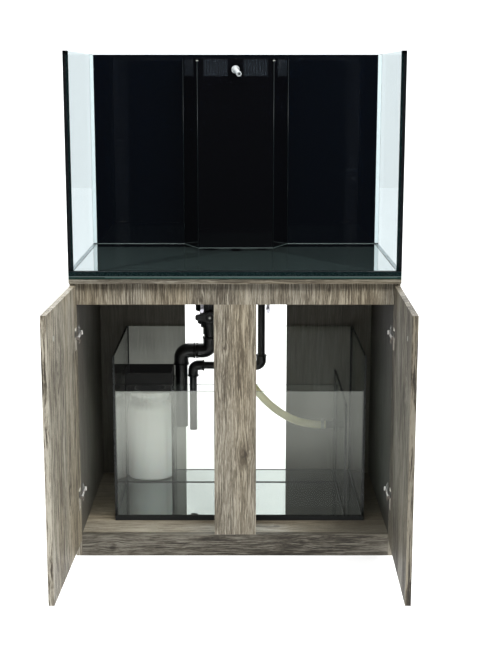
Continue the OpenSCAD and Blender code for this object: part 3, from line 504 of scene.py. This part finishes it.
MAT = {
    "tank_xy": glass("glass_tank_front", "Y", (0.975, 0.990, 0.988)),
    "tank_side": glass(
        "glass_tank_side", "X", (0.955, 0.978, 0.980), power=40.0, clear_foot=True,
        grazing=(0.778, 0.808, 0.819)),
    "tank_floor": glass(
        "glass_tank_floor", "Z", (0.93, 0.98, 0.975), edge=(0.0012, 0.006, 0.0065), least=0.05, power=2.4),
    "sump_x": glass("glass_sump_side", "X", SUMP_SIDE, power=8.0, **SUMP_CUT),
    "sump_right": glass("glass_sump_right", "X", SUMP_SIDE, least=0.01, power=16.0, **SUMP_CUT),
    # The sump's front and back panes carry a painted haze of reflected light, by height and across.
    "sump_front": glass(
        "glass_sump_front", "Y", SUMP_FACE, least=0.004, painted_reflection_glow=0.90,
        film=(("Z", 0.15, 0.38, 0.022, 0.17), ("X", -0.25, 0.15, 0.95, 0.45)), **SUMP_CUT),
    "sump_back": glass(
        "glass_sump_back", "Y", SUMP_FACE, least=0.003, painted_reflection_glow=0.46,
        film=(("X", -0.15, 0.15, 0.15, 0.016), ("Z", 0.44, 0.53, 1.0, 0.62)), **SUMP_CUT),
    "sump_wall": glass("glass_sump_wall", "Y", (0.985, 0.994, 0.988), least=0.003, **SUMP_CUT),
    "sump_base": glass_over_black("glass_sump_floor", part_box("sump_front")[0].z),
    "back": gloss_black("film_backed_glass", rough=0.01),
    "acrylic": gloss_black("black_acrylic", (0.0012, 0.0013, 0.0022)),
    # The satin tray and ring carry a faint painted glow.
    "tray": gloss_black(
        "satin_acrylic", (0.0062, 0.0066, 0.0058), rough=0.42, dust=0.01, spec=0.16, painted_glow=0.0045),
    "comb": gloss_black("grey_screen", (0.085, 0.105, 0.125), rough=0.40, dust=0.01, spec=0.3),
    "lit_arris": gloss_black("lit_arris", (0.030, 0.070, 0.062), rough=0.3, dust=0.0, spec=0.4),
    "arris": gloss_black("polished_arris", (0.0030, 0.0085, 0.0100), rough=0.30, dust=0.0, spec=0.4),
    "clear_bead": gloss_black("clear_sealant", (0.075, 0.100, 0.096), rough=0.30, dust=0.0, spec=0.4),
    "clear_joint": clear_joint("clear_rear_joint"),
    "cover": screen_cover("smoky_cover"),
    "pvc": moulded("black_pvc", (0.0105, 0.0112, 0.0135), rough=0.34),
    "pvc_nut": moulded("black_pvc_nut", (0.0085, 0.0090, 0.0108), rough=0.42, grain=0.0002),
    "cap": moulded("grey_cap", (0.045, 0.048, 0.052), rough=0.36),
    "nozzle": moulded("grey_nozzle", (0.56, 0.57, 0.58), rough=0.20, spec=0.7, worn=(1.2, 1.2, 1.2)),
    "white": moulded("white_plastic", (0.60, 0.60, 0.66), rough=0.42, worn=(0.9, 0.88, 0.86)),
    "steel": plated("nickel_plate"),
    "clamp_steel": plated("clamp_band", (0.36, 0.36, 0.33), rough=0.34),
    # The hinge cups and arms carry painted light and shade by height, and the arms painted shade away from the
    # middle.
    "cup_steel": plated(
        "nickel_cup", (0.92, 0.90, 0.82), painted_light_and_shade=(HINGE_HEIGHTS, 0.006, 0.024, (0.50, 0.47, 0.41), 0.08)),
    "arm_steel": plated(
        "nickel_arm", painted_shade_from=0.4345, painted_light_and_shade=(HINGE_HEIGHTS, 0.004, 0.0075, (0.23, 0.20, 0.175), 1.0)),
    # The levelling mat carries a faint painted glow.
    "mat": foam("levelling_foam", (0.030, 0.038, 0.037), painted_glow=0.050),
    "mat_edge": foam("foam_edge", (0.006, 0.016, 0.013)),
    "silicone": silicone("black_silicone"),
    "felt": felt("white_felt", (sock_low.x + sock_high.x) / 2, sock_high.z),
    "vinyl": vinyl("milky_vinyl"),
}

TO_LEFT, TO_RIGHT, TO_FRONT = (-1, 0, 0), (1, 0, 0), (0, -1, 0)
# Each board's lift is painted light and shade, and its inner share and the cabinet floor's worn list are
# painted shade.
BOARDS = {
    "cabinet_top": dict(along="X", offset=(0.3, 0.1, 0.7), lift=0.50),
    "left_side": dict(
        along="Z", offset=(1.3, 0.4, 0.2), lift=0.72, inner=(TO_RIGHT, 0.44),
        knots=[((-0.448, -0.02, 0.52), 0.012)]),
    "right_side": dict(
        along="Z", offset=(2.1, 0.9, 0.5), lift=0.60, inner=(TO_LEFT, 0.20),
        knots=[((0.448, 0.08, 0.33), 0.011)]),
    "cabinet_floor": dict(
        along="X", offset=(3.7, 1.1, 0.3), lift=1.22, contrast=0.8, polish=0.22,
        knots=[((0.12, -0.22, 0.064), 0.010)], worn=(("X", 0.08, 0.36, 0.34), ("Y", -0.20, -0.04, 0.35))),
    "apron": dict(
        along="Z", offset=(0.9, 2.2, 0.1), lift=0.74,
        knots=[((-0.094, -0.2875, 0.745), 0.006), ((0.26, -0.2875, 0.775), 0.005)]),
    "base_rail": dict(
        along="X", offset=(4.2, 0.3, 1.7), lift=0.385, contrast=1.45,
        knots=[((-0.352, -0.2875, 0.024), 0.009), ((0.19, -0.2875, 0.040), 0.006)]),
    "centre_stile": dict(
        along="Z", offset=(5.1, 0.2, 0.6), lift=0.80,
        knots=[((0.030, -0.2875, 0.303), 0.0068), ((-0.030, -0.2875, 0.610), 0.004)]),
    "left_back": dict(
        along="Z", offset=(6.3, 0.7, 0.9), inner=(TO_FRONT, 0.45), knots=[((-0.30, 0.287, 0.40), 0.011)]),
    "right_back": dict(
        along="Z", offset=(7.4, 0.6, 0.8), inner=(TO_FRONT, 0.45), knots=[((0.33, 0.287, 0.28), 0.011)]),
    "back_stretcher": dict(along="X", offset=(8.2, 0.5, 0.4), inner=(TO_FRONT, 0.45)),
    "rear_base_rail": dict(along="X", offset=(9.5, 0.8, 0.6), knots=[((0.21, 0.305, 0.03), 0.009)]),
    "left_door": dict(
        along="Z", offset=(10.6, 0.3, 0.2), lift=0.80, contrast=2.4, wide=1.4, outside=(TO_LEFT, 0.74, 1.0),
        knots=[((-0.437, -0.60, 0.60), 0.012), ((-0.455, -0.47, 0.25), 0.010)]),
    "right_door": dict(
        along="Z", offset=(11.9, 0.5, 0.7), lift=0.42, contrast=2.6, wide=1.4, outside=(TO_RIGHT, 0.74, 1.0),
        knots=[((0.437, -0.52, 0.36), 0.012), ((0.455, -0.64, 0.58), 0.010)]),
}
FINISH = {
    "tank_xy": "tank_front",
    "tank_side": "tank_left tank_right",
    "tank_floor": "tank_bottom",
    "back": "tank_back",
    "silicone": "tank_silicone",
    "mat": "levelling_mat",
    "acrylic": "overflow_front overflow_left overflow_right",
    "nozzle": "nozzle_collar return_nozzle",
    "pvc": "drain_standpipe emergency_standpipe return_riser bulkheads valve_body drain_pipes drain_elbows "
           "emergency_pipes emergency_elbows hose_barbs",
    "pvc_nut": "bulkhead_nuts union_nuts valve_handle",
    "cup_steel": "left_hinge_cups right_hinge_cups",
    "arm_steel": "left_hinge_arms right_hinge_arms",
    "clamp_steel": "latch_strikes_left latch_strikes_right",
    "white": "left_latch right_latch left_plunger right_plunger",
    "sump_base": "sump_base",
    "sump_front": "sump_front",
    "sump_back": "sump_back",
    "sump_x": "sump_left",
    "sump_right": "sump_right sump_baffles",
    "sump_wall": "sump_partition",
    "tray": "sock_tray sock_ring",
}


def paint(obj, mat):
    obj.data.materials.clear()
    obj.data.materials.append(mat)


for board, look in BOARDS.items():
    paint(NODES[board], wood("wood_" + board, **look))
for finish, nodes in FINISH.items():
    for node in nodes.split():
        paint(NODES[node], MAT[finish])


# --- Making pieces

def piece(name, bm, look, body="frame", smooth=False):
    bmesh.ops.remove_doubles(bm, verts=bm.verts, dist=1e-6)
    bmesh.ops.recalc_face_normals(bm, faces=bm.faces)
    data = bpy.data.meshes.new(name)
    bm.to_mesh(data)
    bm.free()
    for f in data.polygons:
        f.use_smooth = smooth
    data.materials.append(MAT[look])
    obj = bpy.data.objects.new(name, data)
    scene.collection.objects.link(obj)
    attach(obj, body)
    return obj


def add_box(bm, lo, hi, soft=0.0, where=None):
    """A box between two corners, placed by a matrix, with its edges eased by soft."""
    made = bmesh.ops.create_cube(bm, size=1.0)["verts"]
    bmesh.ops.scale(bm, vec=[abs(b - a) for a, b in zip(lo, hi)], verts=made)
    bmesh.ops.translate(bm, vec=[(a + b) / 2 for a, b in zip(lo, hi)], verts=made)
    if where is not None:
        bmesh.ops.transform(bm, matrix=where, verts=made)
    if soft:
        edges = list({e for v in made for e in v.link_edges})
        bmesh.ops.bevel(bm, geom=edges, offset=soft, segments=2, profile=0.5, affect="EDGES")


def add_lathe(bm, profile, where, steps=48):
    """A closed ring of (radius, height) pairs turned round Z, then placed by a matrix."""
    rings = []
    for i in range(steps):
        a = 2 * math.pi * i / steps
        rings.append([bm.verts.new(where @ Vector((r * math.cos(a), r * math.sin(a), z))) for r, z in profile])
    n = len(profile)
    for i in range(steps):
        one, two = rings[i], rings[(i + 1) % steps]
        for j in range(n):
            k = (j + 1) % n
            bm.faces.new([one[j], two[j], two[k], one[k]])


def add_bead(bm, a, b, into, leg):
    """A concave fillet of sealant from a to b; into is the pair of directions its two faces lie along."""
    u, v = Vector(into[0]), Vector(into[1])
    steps, hollow = 5, 0.62
    outline = [Vector((0, 0, 0)), u * leg]
    for i in range(1, steps):
        s = i / steps
        outline.append(u * leg * (1 - s) * (1 - hollow * s * 0.9) + v * leg * s * (1 - hollow * (1 - s) * 0.9))
    outline.append(v * leg)
    near, far = ([bm.verts.new(at + o) for o in outline] for at in (Vector(a), Vector(b)))
    n = len(outline)
    for j in range(n):
        k = (j + 1) % n
        bm.faces.new([near[j], near[k], far[k], far[j]])
    bm.faces.new(near)
    bm.faces.new(far[::-1])


# --- Return hose

HOSE_DIAMETER = 0.025
HOSE_ROUTE = [Vector(at) / 1000 for at in (
    (0, 222, 690), (0, 222, 660), (0, 221, 630), (0, 220, 600), (0, 218, 570), (2, 215, 540), (6, 212, 510),
    (13, 209, 480), (22, 206, 450), (34, 205, 420), (49, 205, 391), (68, 205, 364), (90, 205, 338),
    (115, 205, 314), (142, 205, 293), (172, 205, 275), (204, 205, 262), (238, 205, 255), (266, 205, 252),
    (290, 205, 252))]


def curve_through(points, between):
    """Catmull-Rom points along a route."""
    ends = [points[0] * 2 - points[1], *points, points[-1] * 2 - points[-2]]
    out = []
    for i in range(1, len(ends) - 2):
        p0, p1, p2, p3 = ends[i - 1 : i + 3]
        for k in range(between):
            s = k / between
            out.append(0.5 * ((2 * p1) + (p2 - p0) * s + (2 * p0 - 5 * p1 + 4 * p2 - p3) * s**2
                              + (3 * p1 - 3 * p2 + p3 - p0) * s**3))
    out.append(points[-1])
    return out


def make_hose():
    line = curve_through(HOSE_ROUTE, 4)
    data = bpy.data.curves.new("return_hose_line", "CURVE")
    data.dimensions = "3D"
    data.bevel_depth = HOSE_DIAMETER / 2
    data.bevel_resolution = 7
    data.use_fill_caps = True
    spline = data.splines.new("POLY")
    spline.points.add(len(line) - 1)
    for q, p in zip(spline.points, line):
        q.co = (*p, 1)
    spline.use_smooth = True
    data.materials.append(MAT["vinyl"])
    hose = bpy.data.objects.new("hose_of_vinyl", data)
    scene.collection.objects.link(hose)
    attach(hose, "frame")
    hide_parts("return_hose")
    return hose, sum((b - a).length for a, b in zip(line, line[1:]))


def clamp_at(bm, centre, axis, turn):
    """A worm-drive clamp round an axis: band, housing, thread on the tail, and screw."""
    aim = Vector((0, 0, 1)).rotation_difference(Vector(axis)).to_matrix().to_4x4()
    where = Matrix.Translation(centre) @ aim @ Matrix.Rotation(turn, 4, "Z")
    r, w = HOSE_DIAMETER / 2 + 0.00025, 0.0045
    add_lathe(bm, [(r, -w), (r + 0.0008, -w), (r + 0.0008, w), (r, w)], where)
    add_box(bm, (r + 0.0006, -0.0065, -w * 0.95), (r + 0.0058, 0.0065, w * 0.95), 0.0009, where)
    for i in range(9):
        y = -0.012 - i * 0.0012
        lift = r + 0.0009 - 0.0006 * i
        add_box(bm, (lift - 0.0002, y, -w * 0.6), (lift + 0.0004, y + 0.0006, w * 0.6), where=where)
    screw = where @ Matrix.Translation((r + 0.0034, 0.0065, 0)) @ Matrix.Rotation(-math.pi / 2, 4, "X")
    add_lathe(bm, [(0.0004, 0), (0.0034, 0), (0.0034, 0.0028), (0.0029, 0.0033), (0.0004, 0.0033)], screw, 24)


def make_clamps():
    bm = bmesh.new()
    clamp_at(bm, Vector((0, 0.222, 0.679)), (0, 0, 1), -1.9)
    clamp_at(bm, Vector((0.279, 0.205, 0.252)), (1, 0, 0), 2.2)
    clamps = piece("worm_clamps", bm, "clamp_steel")
    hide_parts("hose_clamps")
    return clamps


hose, hose_length = make_hose()
make_clamps()


# --- Filter sock

# Height up the bag, from 0 at the bottom to 1 at the ring, then half its width and half its depth.
SOCK_OUTLINE = [
    (0.000, 0.066, 0.055), (0.006, 0.0710, 0.0592), (0.020, 0.0726, 0.0606), (0.10, 0.0728, 0.0608),
    (0.50, 0.0726, 0.0608), (0.70, 0.0718, 0.0606), (0.775, 0.0706, 0.0602), (0.824, 0.0670, 0.0590),
    (0.865, 0.0575, 0.0560), (0.892, 0.0515, 0.0515), (0.922, 0.0562, 0.0562), (0.962, 0.0580, 0.0578),
    (1.00, 0.0618, 0.0602)]
SOCK_AGAINST_GLASS = 0.0724     # half the room between the panes that flatten the bag
SOCK_HANGS = 0.003              # how far the bottom hangs below the CAD solid's


def sock_radii(h):
    for (h0, a0, b0), (h1, a1, b1) in zip(SOCK_OUTLINE, SOCK_OUTLINE[1:]):
        if h <= h1:
            s = (h - h0) / (h1 - h0)
            return a0 + (a1 - a0) * s, b0 + (b1 - b0) * s
    return SOCK_OUTLINE[-1][1:]


def make_sock():
    """The felt bag: folds and creases in the body, and pleats where the neck is gathered."""
    centre = (sock_low + sock_high) / 2
    height = sock_high.z - sock_low.z
    around, rows = 144, 110
    bm = bmesh.new()
    rings = []
    for j in range(rows + 1):
        h = (j / rows) ** 1.1
        a, b = sock_radii(h)
        slack = math.sin(math.pi * min(h / 0.9, 1.0)) ** 0.7
        gathered = min(max((h - 0.79) / 0.09, 0), 1)
        ring = []
        for i in range(around):
            w = 2 * math.pi * i / around
            fold = noise.noise(Vector((2.1 * math.cos(w), 2.1 * math.sin(w), h * 1.7 + 3.1)))
            crease = noise.noise(Vector((6.0 * math.cos(w) + 9, 6.0 * math.sin(w), h * 4.0)))
            pleat = abs(math.sin(w * 9 + 1.3 * math.sin(w * 4 + 0.6)))
            gather = gathered * (0.085 * pleat + 0.02 * crease)
            r = 1 + 0.014 * fold * slack + 0.009 * crease * slack + gather
            sag = 0.004 * slack * noise.noise(Vector((math.cos(w), math.sin(w), 8.0)))
            across = max(-SOCK_AGAINST_GLASS, min(SOCK_AGAINST_GLASS, a * r * math.cos(w)))
            up = h * (height + SOCK_HANGS) + max(sag, 0) * (1 - h)
            ring.append(bm.verts.new((centre.x + across, centre.y + b * r * math.sin(w),
                                      sock_low.z - SOCK_HANGS + up)))
        rings.append(ring)
    for one, two in zip(rings, rings[1:]):
        for i in range(around):
            k = (i + 1) % around
            bm.faces.new([one[i], one[k], two[k], two[i]])
    last = rings[0]
    for share in (0.66, 0.33):
        ring = [bm.verts.new((centre.x + (v.co.x - centre.x) * share, centre.y + (v.co.y - centre.y) * share,
                              sock_low.z - 0.0028)) for v in rings[0]]
        for i in range(around):
            k = (i + 1) % around
            bm.faces.new([last[k], last[i], ring[i], ring[k]])
        last = ring
    bm.faces.new(last)
    sock = piece("felt_sock", bm, "felt", body="filter_sock", smooth=True)
    wall = sock.modifiers.new("wall", "SOLIDIFY")
    wall.thickness = 0.0022
    wall.offset = -1
    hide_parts("filter_sock")


make_sock()


# --- Sealant

def make_tank_seams():
    """Black sealant at the front corners and along the foot, and the clear joints at the rear corners."""
    front, side, floor, back = (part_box(n) for n in ("tank_front", "tank_left", "tank_bottom", "tank_back"))
    x_out, x_in = -front[0].x, -side[1].x
    y_in, y_back = front[1].y, back[0].y
    z0, z1 = floor[1].z, front[1].z
    film, leg, inset = 0.0004, 0.0016, 0.0006
    bm, clear = bmesh.new(), bmesh.new()
    for s in (-1, 1):
        inward = (-s, 0, 0)
        add_box(bm, (s * (x_in + 0.0045), y_in - film, z0), (s * x_out, y_in + film, z1 - inset))
        add_bead(bm, (s * x_in, y_in, z0), (s * x_in, y_in, z1 - 0.001), (inward, (0, 1, 0)), leg)
        add_bead(bm, (s * x_in, y_in, z0), (s * x_in, y_back, z0), (inward, (0, 0, 1)), leg * 0.6)
        add_box(clear, (s * x_in, y_back - film, z0 + 0.002), (s * (x_out - inset), y_back + film, z1 - inset))
    add_bead(bm, (-x_in, y_in, z0), (x_in, y_in, z0), ((0, 1, 0), (0, 0, 1)), leg)
    add_box(bm, (-x_out, front[0].y + inset, z0 - film), (x_out, y_in, z0 + film))
    seams = piece("tank_seams", bm, "silicone")
    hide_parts("tank_silicone")
    piece("rear_joints", clear, "clear_joint")


def make_sump_seams():
    """Black sealant in the sump's corners and round its partition and baffles."""
    left, right, front, back = (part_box(n) for n in ("sump_left", "sump_right", "sump_front", "sump_back"))
    part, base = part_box("sump_partition"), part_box("sump_base")
    x0, x1, y0, y1 = left[1].x, right[0].x, front[1].y, back[0].y
    z0, z_low, z_rim, z_part = base[1].z, front[1].z, back[1].z, part[1].z
    film, inset, leg = 0.0003, 0.0005, 0.0020
    thin_leg = leg * 0.8
    left_baffle, right_baffle, baffle_thickness = -0.203, part[1].x, 0.006
    up = (0, 0, 1)
    bm = bmesh.new()
    for x, s in ((x0, 1), (x1, -1)):
        add_bead(bm, (x, y0, z0), (x, y0, z_low), ((s, 0, 0), (0, 1, 0)), leg)
        add_bead(bm, (x, y1, z0), (x, y1, z_rim), ((s, 0, 0), (0, -1, 0)), leg)
        add_bead(bm, (x, y0, z0), (x, y1, z0), ((s, 0, 0), up), leg)
        add_box(bm, (x - film, front[0].y + inset, z0), (x + film, y0, z_low - inset))
        add_box(bm, (x - film, y1, z0), (x + film, back[1].y - inset, z_rim - inset))
    for y, s, end in ((y0, 1, x1), (y1, -1, x1), (part[0].y, -1, part[1].x), (part[1].y, 1, part[1].x)):
        add_bead(bm, (x0, y, z0), (end, y, z0), ((0, s, 0), up), thin_leg)
    for y, s in ((part[0].y, -1), (part[1].y, 1)):
        for x, d in ((x0, 1), (part[1].x, -1)):
            add_bead(bm, (x, y, z0), (x, y, z_part), ((d, 0, 0), (0, s, 0)), thin_leg)
    for x, s in ((right_baffle, -1), (right_baffle + baffle_thickness, 1)):
        add_bead(bm, (x, y0, z0), (x, y1, z0), ((s, 0, 0), up), thin_leg)
    for x, s in ((left_baffle, -1), (left_baffle + baffle_thickness, 1)):
        add_bead(bm, (x, part[1].y, z0), (x, y1, z0), ((s, 0, 0), up), thin_leg)
        for y, d in ((part[1].y, 1), (y1, -1)):
            add_bead(bm, (x, y, z0), (x, y, z_part), ((s, 0, 0), (0, d, 0)), thin_leg)
    piece("sump_seams", bm, "silicone")


def add_comb(bm, half, y, ribs, rib_depth, back, z, where=None):
    """A strainer screen: upright ribs in front of a backing, both sitting between two heights. half is half
    the screen's width, ribs the number of them, and back where the backing starts and stops."""
    rib, pitch = 0.0011, 0.0030
    add_box(bm, (-half, back[0], z[0] - 0.002), (half, back[1], z[1] + 0.002), where=where)
    for i in range(ribs):
        x = -half + 0.0015 + i * pitch
        add_box(bm, (x, y, z[0] - 0.0015), (x + rib, y + rib_depth, z[1] + 0.0015), where=where)


def make_weir_trim():
    """Grey screens behind the overflow's comb windows with smoky covers over them, polished strips up its
    corners, and small clips at its top corners."""
    lo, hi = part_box("overflow_front")
    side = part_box("overflow_right")
    front_y, back_y, half, back_half = lo.y, side[1].y, hi.x, side[1].x
    foot, rim = lo.z + 0.001, hi.z - 0.001
    window = (hi.z - 0.050, hi.z - 0.006)
    cover_low, cover_high = window[0] - 0.003, window[1] + 0.003
    screens, strips, covers, clips = (bmesh.new() for _ in range(4))
    for s in (-1, 1):
        middle, y = s * 0.061, front_y + 0.0066
        add_comb(screens, 0.036, y, 24, 0.0012, (y + 0.0008, y + 0.0020), window,
                 Matrix.Translation((middle, 0, 0)))
        add_box(covers, (middle - 0.037, front_y - 0.0014, cover_low),
                (middle + 0.037, front_y - 0.0002, cover_high), 0.0003)
        corner = Vector((s * half, front_y, 0))
        slant = Vector((s * (back_half - half), back_y - front_y, 0))
        along = slant.normalized()
        inward = Vector((-s * along.y, s * along.x, 0))
        turn = Matrix((along, -inward, (0, 0, 1))).transposed().to_4x4()
        inside = Matrix.Translation(corner + slant * 0.5 + inward * 0.0085) @ turn
        outside = Matrix.Translation(corner + slant * 0.56 - inward * 0.0009) @ turn
        reach = slant.length * 0.31
        add_comb(screens, 0.027, -0.0011, 18, 0.0022, (-0.0006, 0.0006), window, inside)
        add_box(covers, (-reach, -0.0006, cover_low), (reach, 0.0006, cover_high), 0.0003, outside)
        add_box(clips, (s * half - 0.0036, front_y - 0.0014, hi.z - 0.0085),
                (s * half + 0.0036, front_y + 0.004, hi.z - 0.0050), 0.0006)
        for at, r in ((corner, 0.0007), (Vector((s * back_half, back_y - 0.001, 0)), 0.0008)):
            add_lathe(strips, [(0.0001, foot), (r, foot), (r, rim), (0.0001, rim)], Matrix.Translation(at), 12)
    piece("weir_screens", screens, "comb")
    piece("weir_covers", covers, "cover")
    piece("weir_clips", clips, "clamp_steel")
    piece("weir_corner_strips", strips, "arris", smooth=True)


def make_floor_line():
    """The lit bead of clear sealant where the tank's back and overflow stand on its floor."""
    floor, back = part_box("tank_bottom"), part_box("tank_back")
    weir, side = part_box("overflow_front"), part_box("overflow_right")
    z, y = floor[1].z, back[0].y
    up = (0, 0, 1)
    bm = bmesh.new()
    for s in (-1, 1):
        add_bead(bm, (s * 0.444, y, z), (s * side[1].x, y, z), ((0, -1, 0), up), 0.0013)
        add_bead(bm, (s * side[1].x, y, z), (s * weir[1].x, weir[0].y, z), ((s * 0.9, -0.42, 0), up), 0.0009)
    add_bead(bm, (-weir[1].x, weir[0].y, z), (weir[1].x, weir[0].y, z), ((0, -1, 0), up), 0.0010)
    piece("floor_beads", bm, "clear_bead")


def make_mat_edge():
    """The levelling mat's soft edge drooping over the front of the cabinet top, with the glass's lit lower
    arris."""
    top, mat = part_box("cabinet_top"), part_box("levelling_mat")
    y, z = top[0].y, mat[0].z
    bm, lit = bmesh.new(), bmesh.new()
    add_box(bm, (mat[0].x + 0.001, y - 0.0012, z - 0.0052), (mat[1].x - 0.001, y + 0.0004, z + 0.0005), 0.0004)
    add_box(lit, (mat[0].x + 0.10, y - 0.0016, z - 0.0018), (mat[1].x - 0.012, y - 0.0010, z + 0.0004), 0.0002)
    piece("mat_edge", bm, "mat_edge")
    piece("front_lower_arris", lit, "lit_arris")


def make_socket_lips():
    """The raised rims at the mouths of the elbows."""
    width, proud, ease = 0.0055, 0.0016, 0.0006
    level = Matrix.Rotation(math.pi / 2, 4, "Y")
    bm = bmesh.new()
    for node, socket, reach in (("drain_elbows", 0.0235, 0.046), ("emergency_elbows", 0.016, 0.036)):
        lo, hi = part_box(node)
        run_z, y = hi.z - reach, (lo.y + hi.y) / 2
        drop_x, rise_x = lo.x + socket, hi.x - socket
        inner, outer = socket - ease, socket + proud
        ring = [(inner, -width), (outer, -width), (outer, -0.0004), (outer - ease, 0.0), (inner, 0.0)]
        for at, turn in (((rise_x, y, run_z + reach), Matrix()),
                         ((drop_x, y, run_z - reach), Matrix.Rotation(math.pi, 4, "X")),
                         ((rise_x - reach, y, run_z), level.inverted()),
                         ((drop_x + reach, y, run_z), level)):
            add_lathe(bm, ring, Matrix.Translation(at) @ turn, 56)
    piece("socket_lips", bm, "pvc_nut", smooth=True)


def make_valve_cap():
    """The handle's hub: a dished cap with a rim, moulded ribs along each wing, and its steel screw."""
    lo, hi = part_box("valve_handle")
    centre = Vector(((lo.x + hi.x) / 2, lo.y, (lo.z + hi.z) / 2))
    front = Matrix.Translation(centre) @ Matrix.Rotation(math.pi / 2, 4, "X")
    sunk = -0.0006
    rim = [(0.0125, sunk), (0.0165, sunk), (0.0165, 0.0012), (0.0155, 0.0019), (0.0135, 0.0019),
           (0.0125, 0.0012)]
    dish = [(0.0001, sunk), (0.0095, sunk), (0.0095, 0.0006), (0.0060, 0.0011), (0.0001, 0.0011)]
    head = [(0.0009, 0.0009), (0.0040, 0.0009), (0.0038, 0.0024), (0.0024, 0.0031), (0.0009, 0.0024)]
    bm, screw = bmesh.new(), bmesh.new()
    add_lathe(bm, rim, front, 48)
    add_lathe(bm, dish, front, 40)
    for s in (-1, 1):
        for z in (-0.0045, 0.0, 0.0045):
            add_box(bm, centre + Vector((s * 0.020, 0.0024, z - 0.0009)),
                    centre + Vector((s * 0.043, 0.0034, z + 0.0009)), 0.0003)
    add_lathe(screw, head, front, 24)
    piece("valve_cap", bm, "cap", body="valve_handle", smooth=True)
    piece("valve_cap_screw", screw, "steel", body="valve_handle", smooth=True)


def make_hinge_clips():
    """The spring clip behind each hinge arm, and the arm's two adjusting screws."""
    head = [(0.0009, -0.0004), (0.0034, -0.0004), (0.0032, 0.0008), (0.0009, 0.0010)]
    bm = bmesh.new()
    for node, s in (("left_hinge_arms", 1), ("right_hinge_arms", -1)):
        lo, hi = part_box(node)
        arm = hi.x if s > 0 else lo.x
        turn = Matrix.Rotation(s * math.pi / 2, 4, "Y")
        for z in HINGE_HEIGHTS:
            add_box(bm, (arm - s * 0.003, hi.y - 0.001, z - 0.005),
                    (arm + s * 0.0032, hi.y + 0.0015, z + 0.007), 0.0004)
            for y in (0.020, 0.036):
                add_lathe(bm, head, Matrix.Translation((arm, lo.y + y, z)) @ turn, 24)
    piece("hinge_clips", bm, "steel")


make_tank_seams()
make_sump_seams()
make_mat_edge()
make_socket_lips()
make_hinge_clips()
make_valve_cap()
make_weir_trim()
make_floor_line()


# --- Light

def make_world():
    """A bright sweep behind and above, which the camera sees as one even white."""
    seen_white = 1.5
    # Each sweep's range of the direction, from and to, and its strength at both.
    behind_range, above_range = (-0.35, 0.45, 0.02, 2.1), (0.25, 0.85, 0.0, 1.3)
    world = bpy.data.worlds.new("studio")
    scene.world = world
    world.use_nodes = True
    nt = world.node_tree
    nt.nodes.clear()
    out, background, coord, split, behind, above, most, path, pick = (
        nt.nodes.new("ShaderNode" + kind) for kind in (
            "OutputWorld", "Background", "TexCoord", "SeparateXYZ", "MapRange", "MapRange", "Math", "LightPath",
            "Mix"))
    most.operation = "MAXIMUM"
    nt.links.new(coord.outputs["Generated"], split.inputs[0])
    for i, (ramp, axis, values) in enumerate(((behind, "Y", behind_range), (above, "Z", above_range))):
        ramp.interpolation_type = "SMOOTHSTEP"
        nt.links.new(split.outputs[axis], ramp.inputs[0])
        nt.links.new(ramp.outputs[0], most.inputs[i])
        for k, value in enumerate(values):
            ramp.inputs[k + 1].default_value = value
    nt.links.new(path.outputs["Is Camera Ray"], pick.inputs[0])
    nt.links.new(most.outputs[0], pick.inputs[2])
    pick.inputs[3].default_value = seen_white
    nt.links.new(pick.outputs[0], background.inputs["Strength"])
    background.inputs["Color"].default_value = (0.985, 0.995, 1.0, 1)
    nt.links.new(background.outputs[0], out.inputs[0])


def softbox(name, at, aim, size, watts):
    data = bpy.data.lights.new(name, "AREA")
    data.shape = "RECTANGLE"
    data.size, data.size_y = size
    data.energy = watts
    lamp = bpy.data.objects.new(name, data)
    scene.collection.objects.link(lamp)
    lamp.location = at
    lamp.rotation_euler = (Vector(aim) - Vector(at)).to_track_quat("-Z", "Y").to_euler()


def make_floor():
    t = Tree("pale_floor")
    cloud = t.noise(t.place(), 2.0, 3.0)
    shade = t.mix(cloud, (0.86, 0.865, 0.87), (0.90, 0.90, 0.90))
    grit = t.bump(t.noise(t.place(), 60.0, 2.0), 0.0003, 0.2)
    skin = t.principled(colour=shade, rough=0.75, spec=0.2, normal=grit)
    bm = bmesh.new()
    bmesh.ops.create_grid(bm, x_segments=24, y_segments=24, size=0.5)
    bmesh.ops.scale(bm, vec=(16, 14.4, 1), verts=bm.verts)
    bmesh.ops.translate(bm, vec=(0, 4.8, 0), verts=bm.verts)
    data = bpy.data.meshes.new("studio_floor")
    bm.to_mesh(data)
    bm.free()
    data.materials.append(t.done(t.glowing(skin, 0.42, shade)))
    floor = bpy.data.objects.new("studio_floor", data)
    scene.collection.objects.link(floor)


make_world()
make_floor()
softbox("key_left", (-1.9, -2.5, 3.8), (0, 0, 0.5), (1.4, 1.6), 44)
softbox("key_right", (2.4, -2.3, 3.4), (0, 0, 0.5), (1.4, 1.6), 104)
softbox("front_high", (0.0, -2.5, 3.6), (0, -0.2, 0.3), (2.4, 1.0), 68)


# --- Edges

def ease(name, width):
    m = NODES[name].modifiers.new("arris", "BEVEL")
    m.width = width
    m.segments = 2
    m.limit_method = "ANGLE"
    m.angle_limit = math.radians(40)
    m.harden_normals = True


for names, width in (
        (BOARDS, 0.0006),
        (("tank_front", "tank_left", "tank_right", "tank_back", "tank_bottom"), 0.0009),
        (("sump_front", "sump_back", "sump_left", "sump_right", "sump_partition"), 0.0005),
        (("overflow_front", "overflow_left", "overflow_right", "sock_tray", "sock_ring"), 0.0004)):
    for name in names:
        ease(name, width)
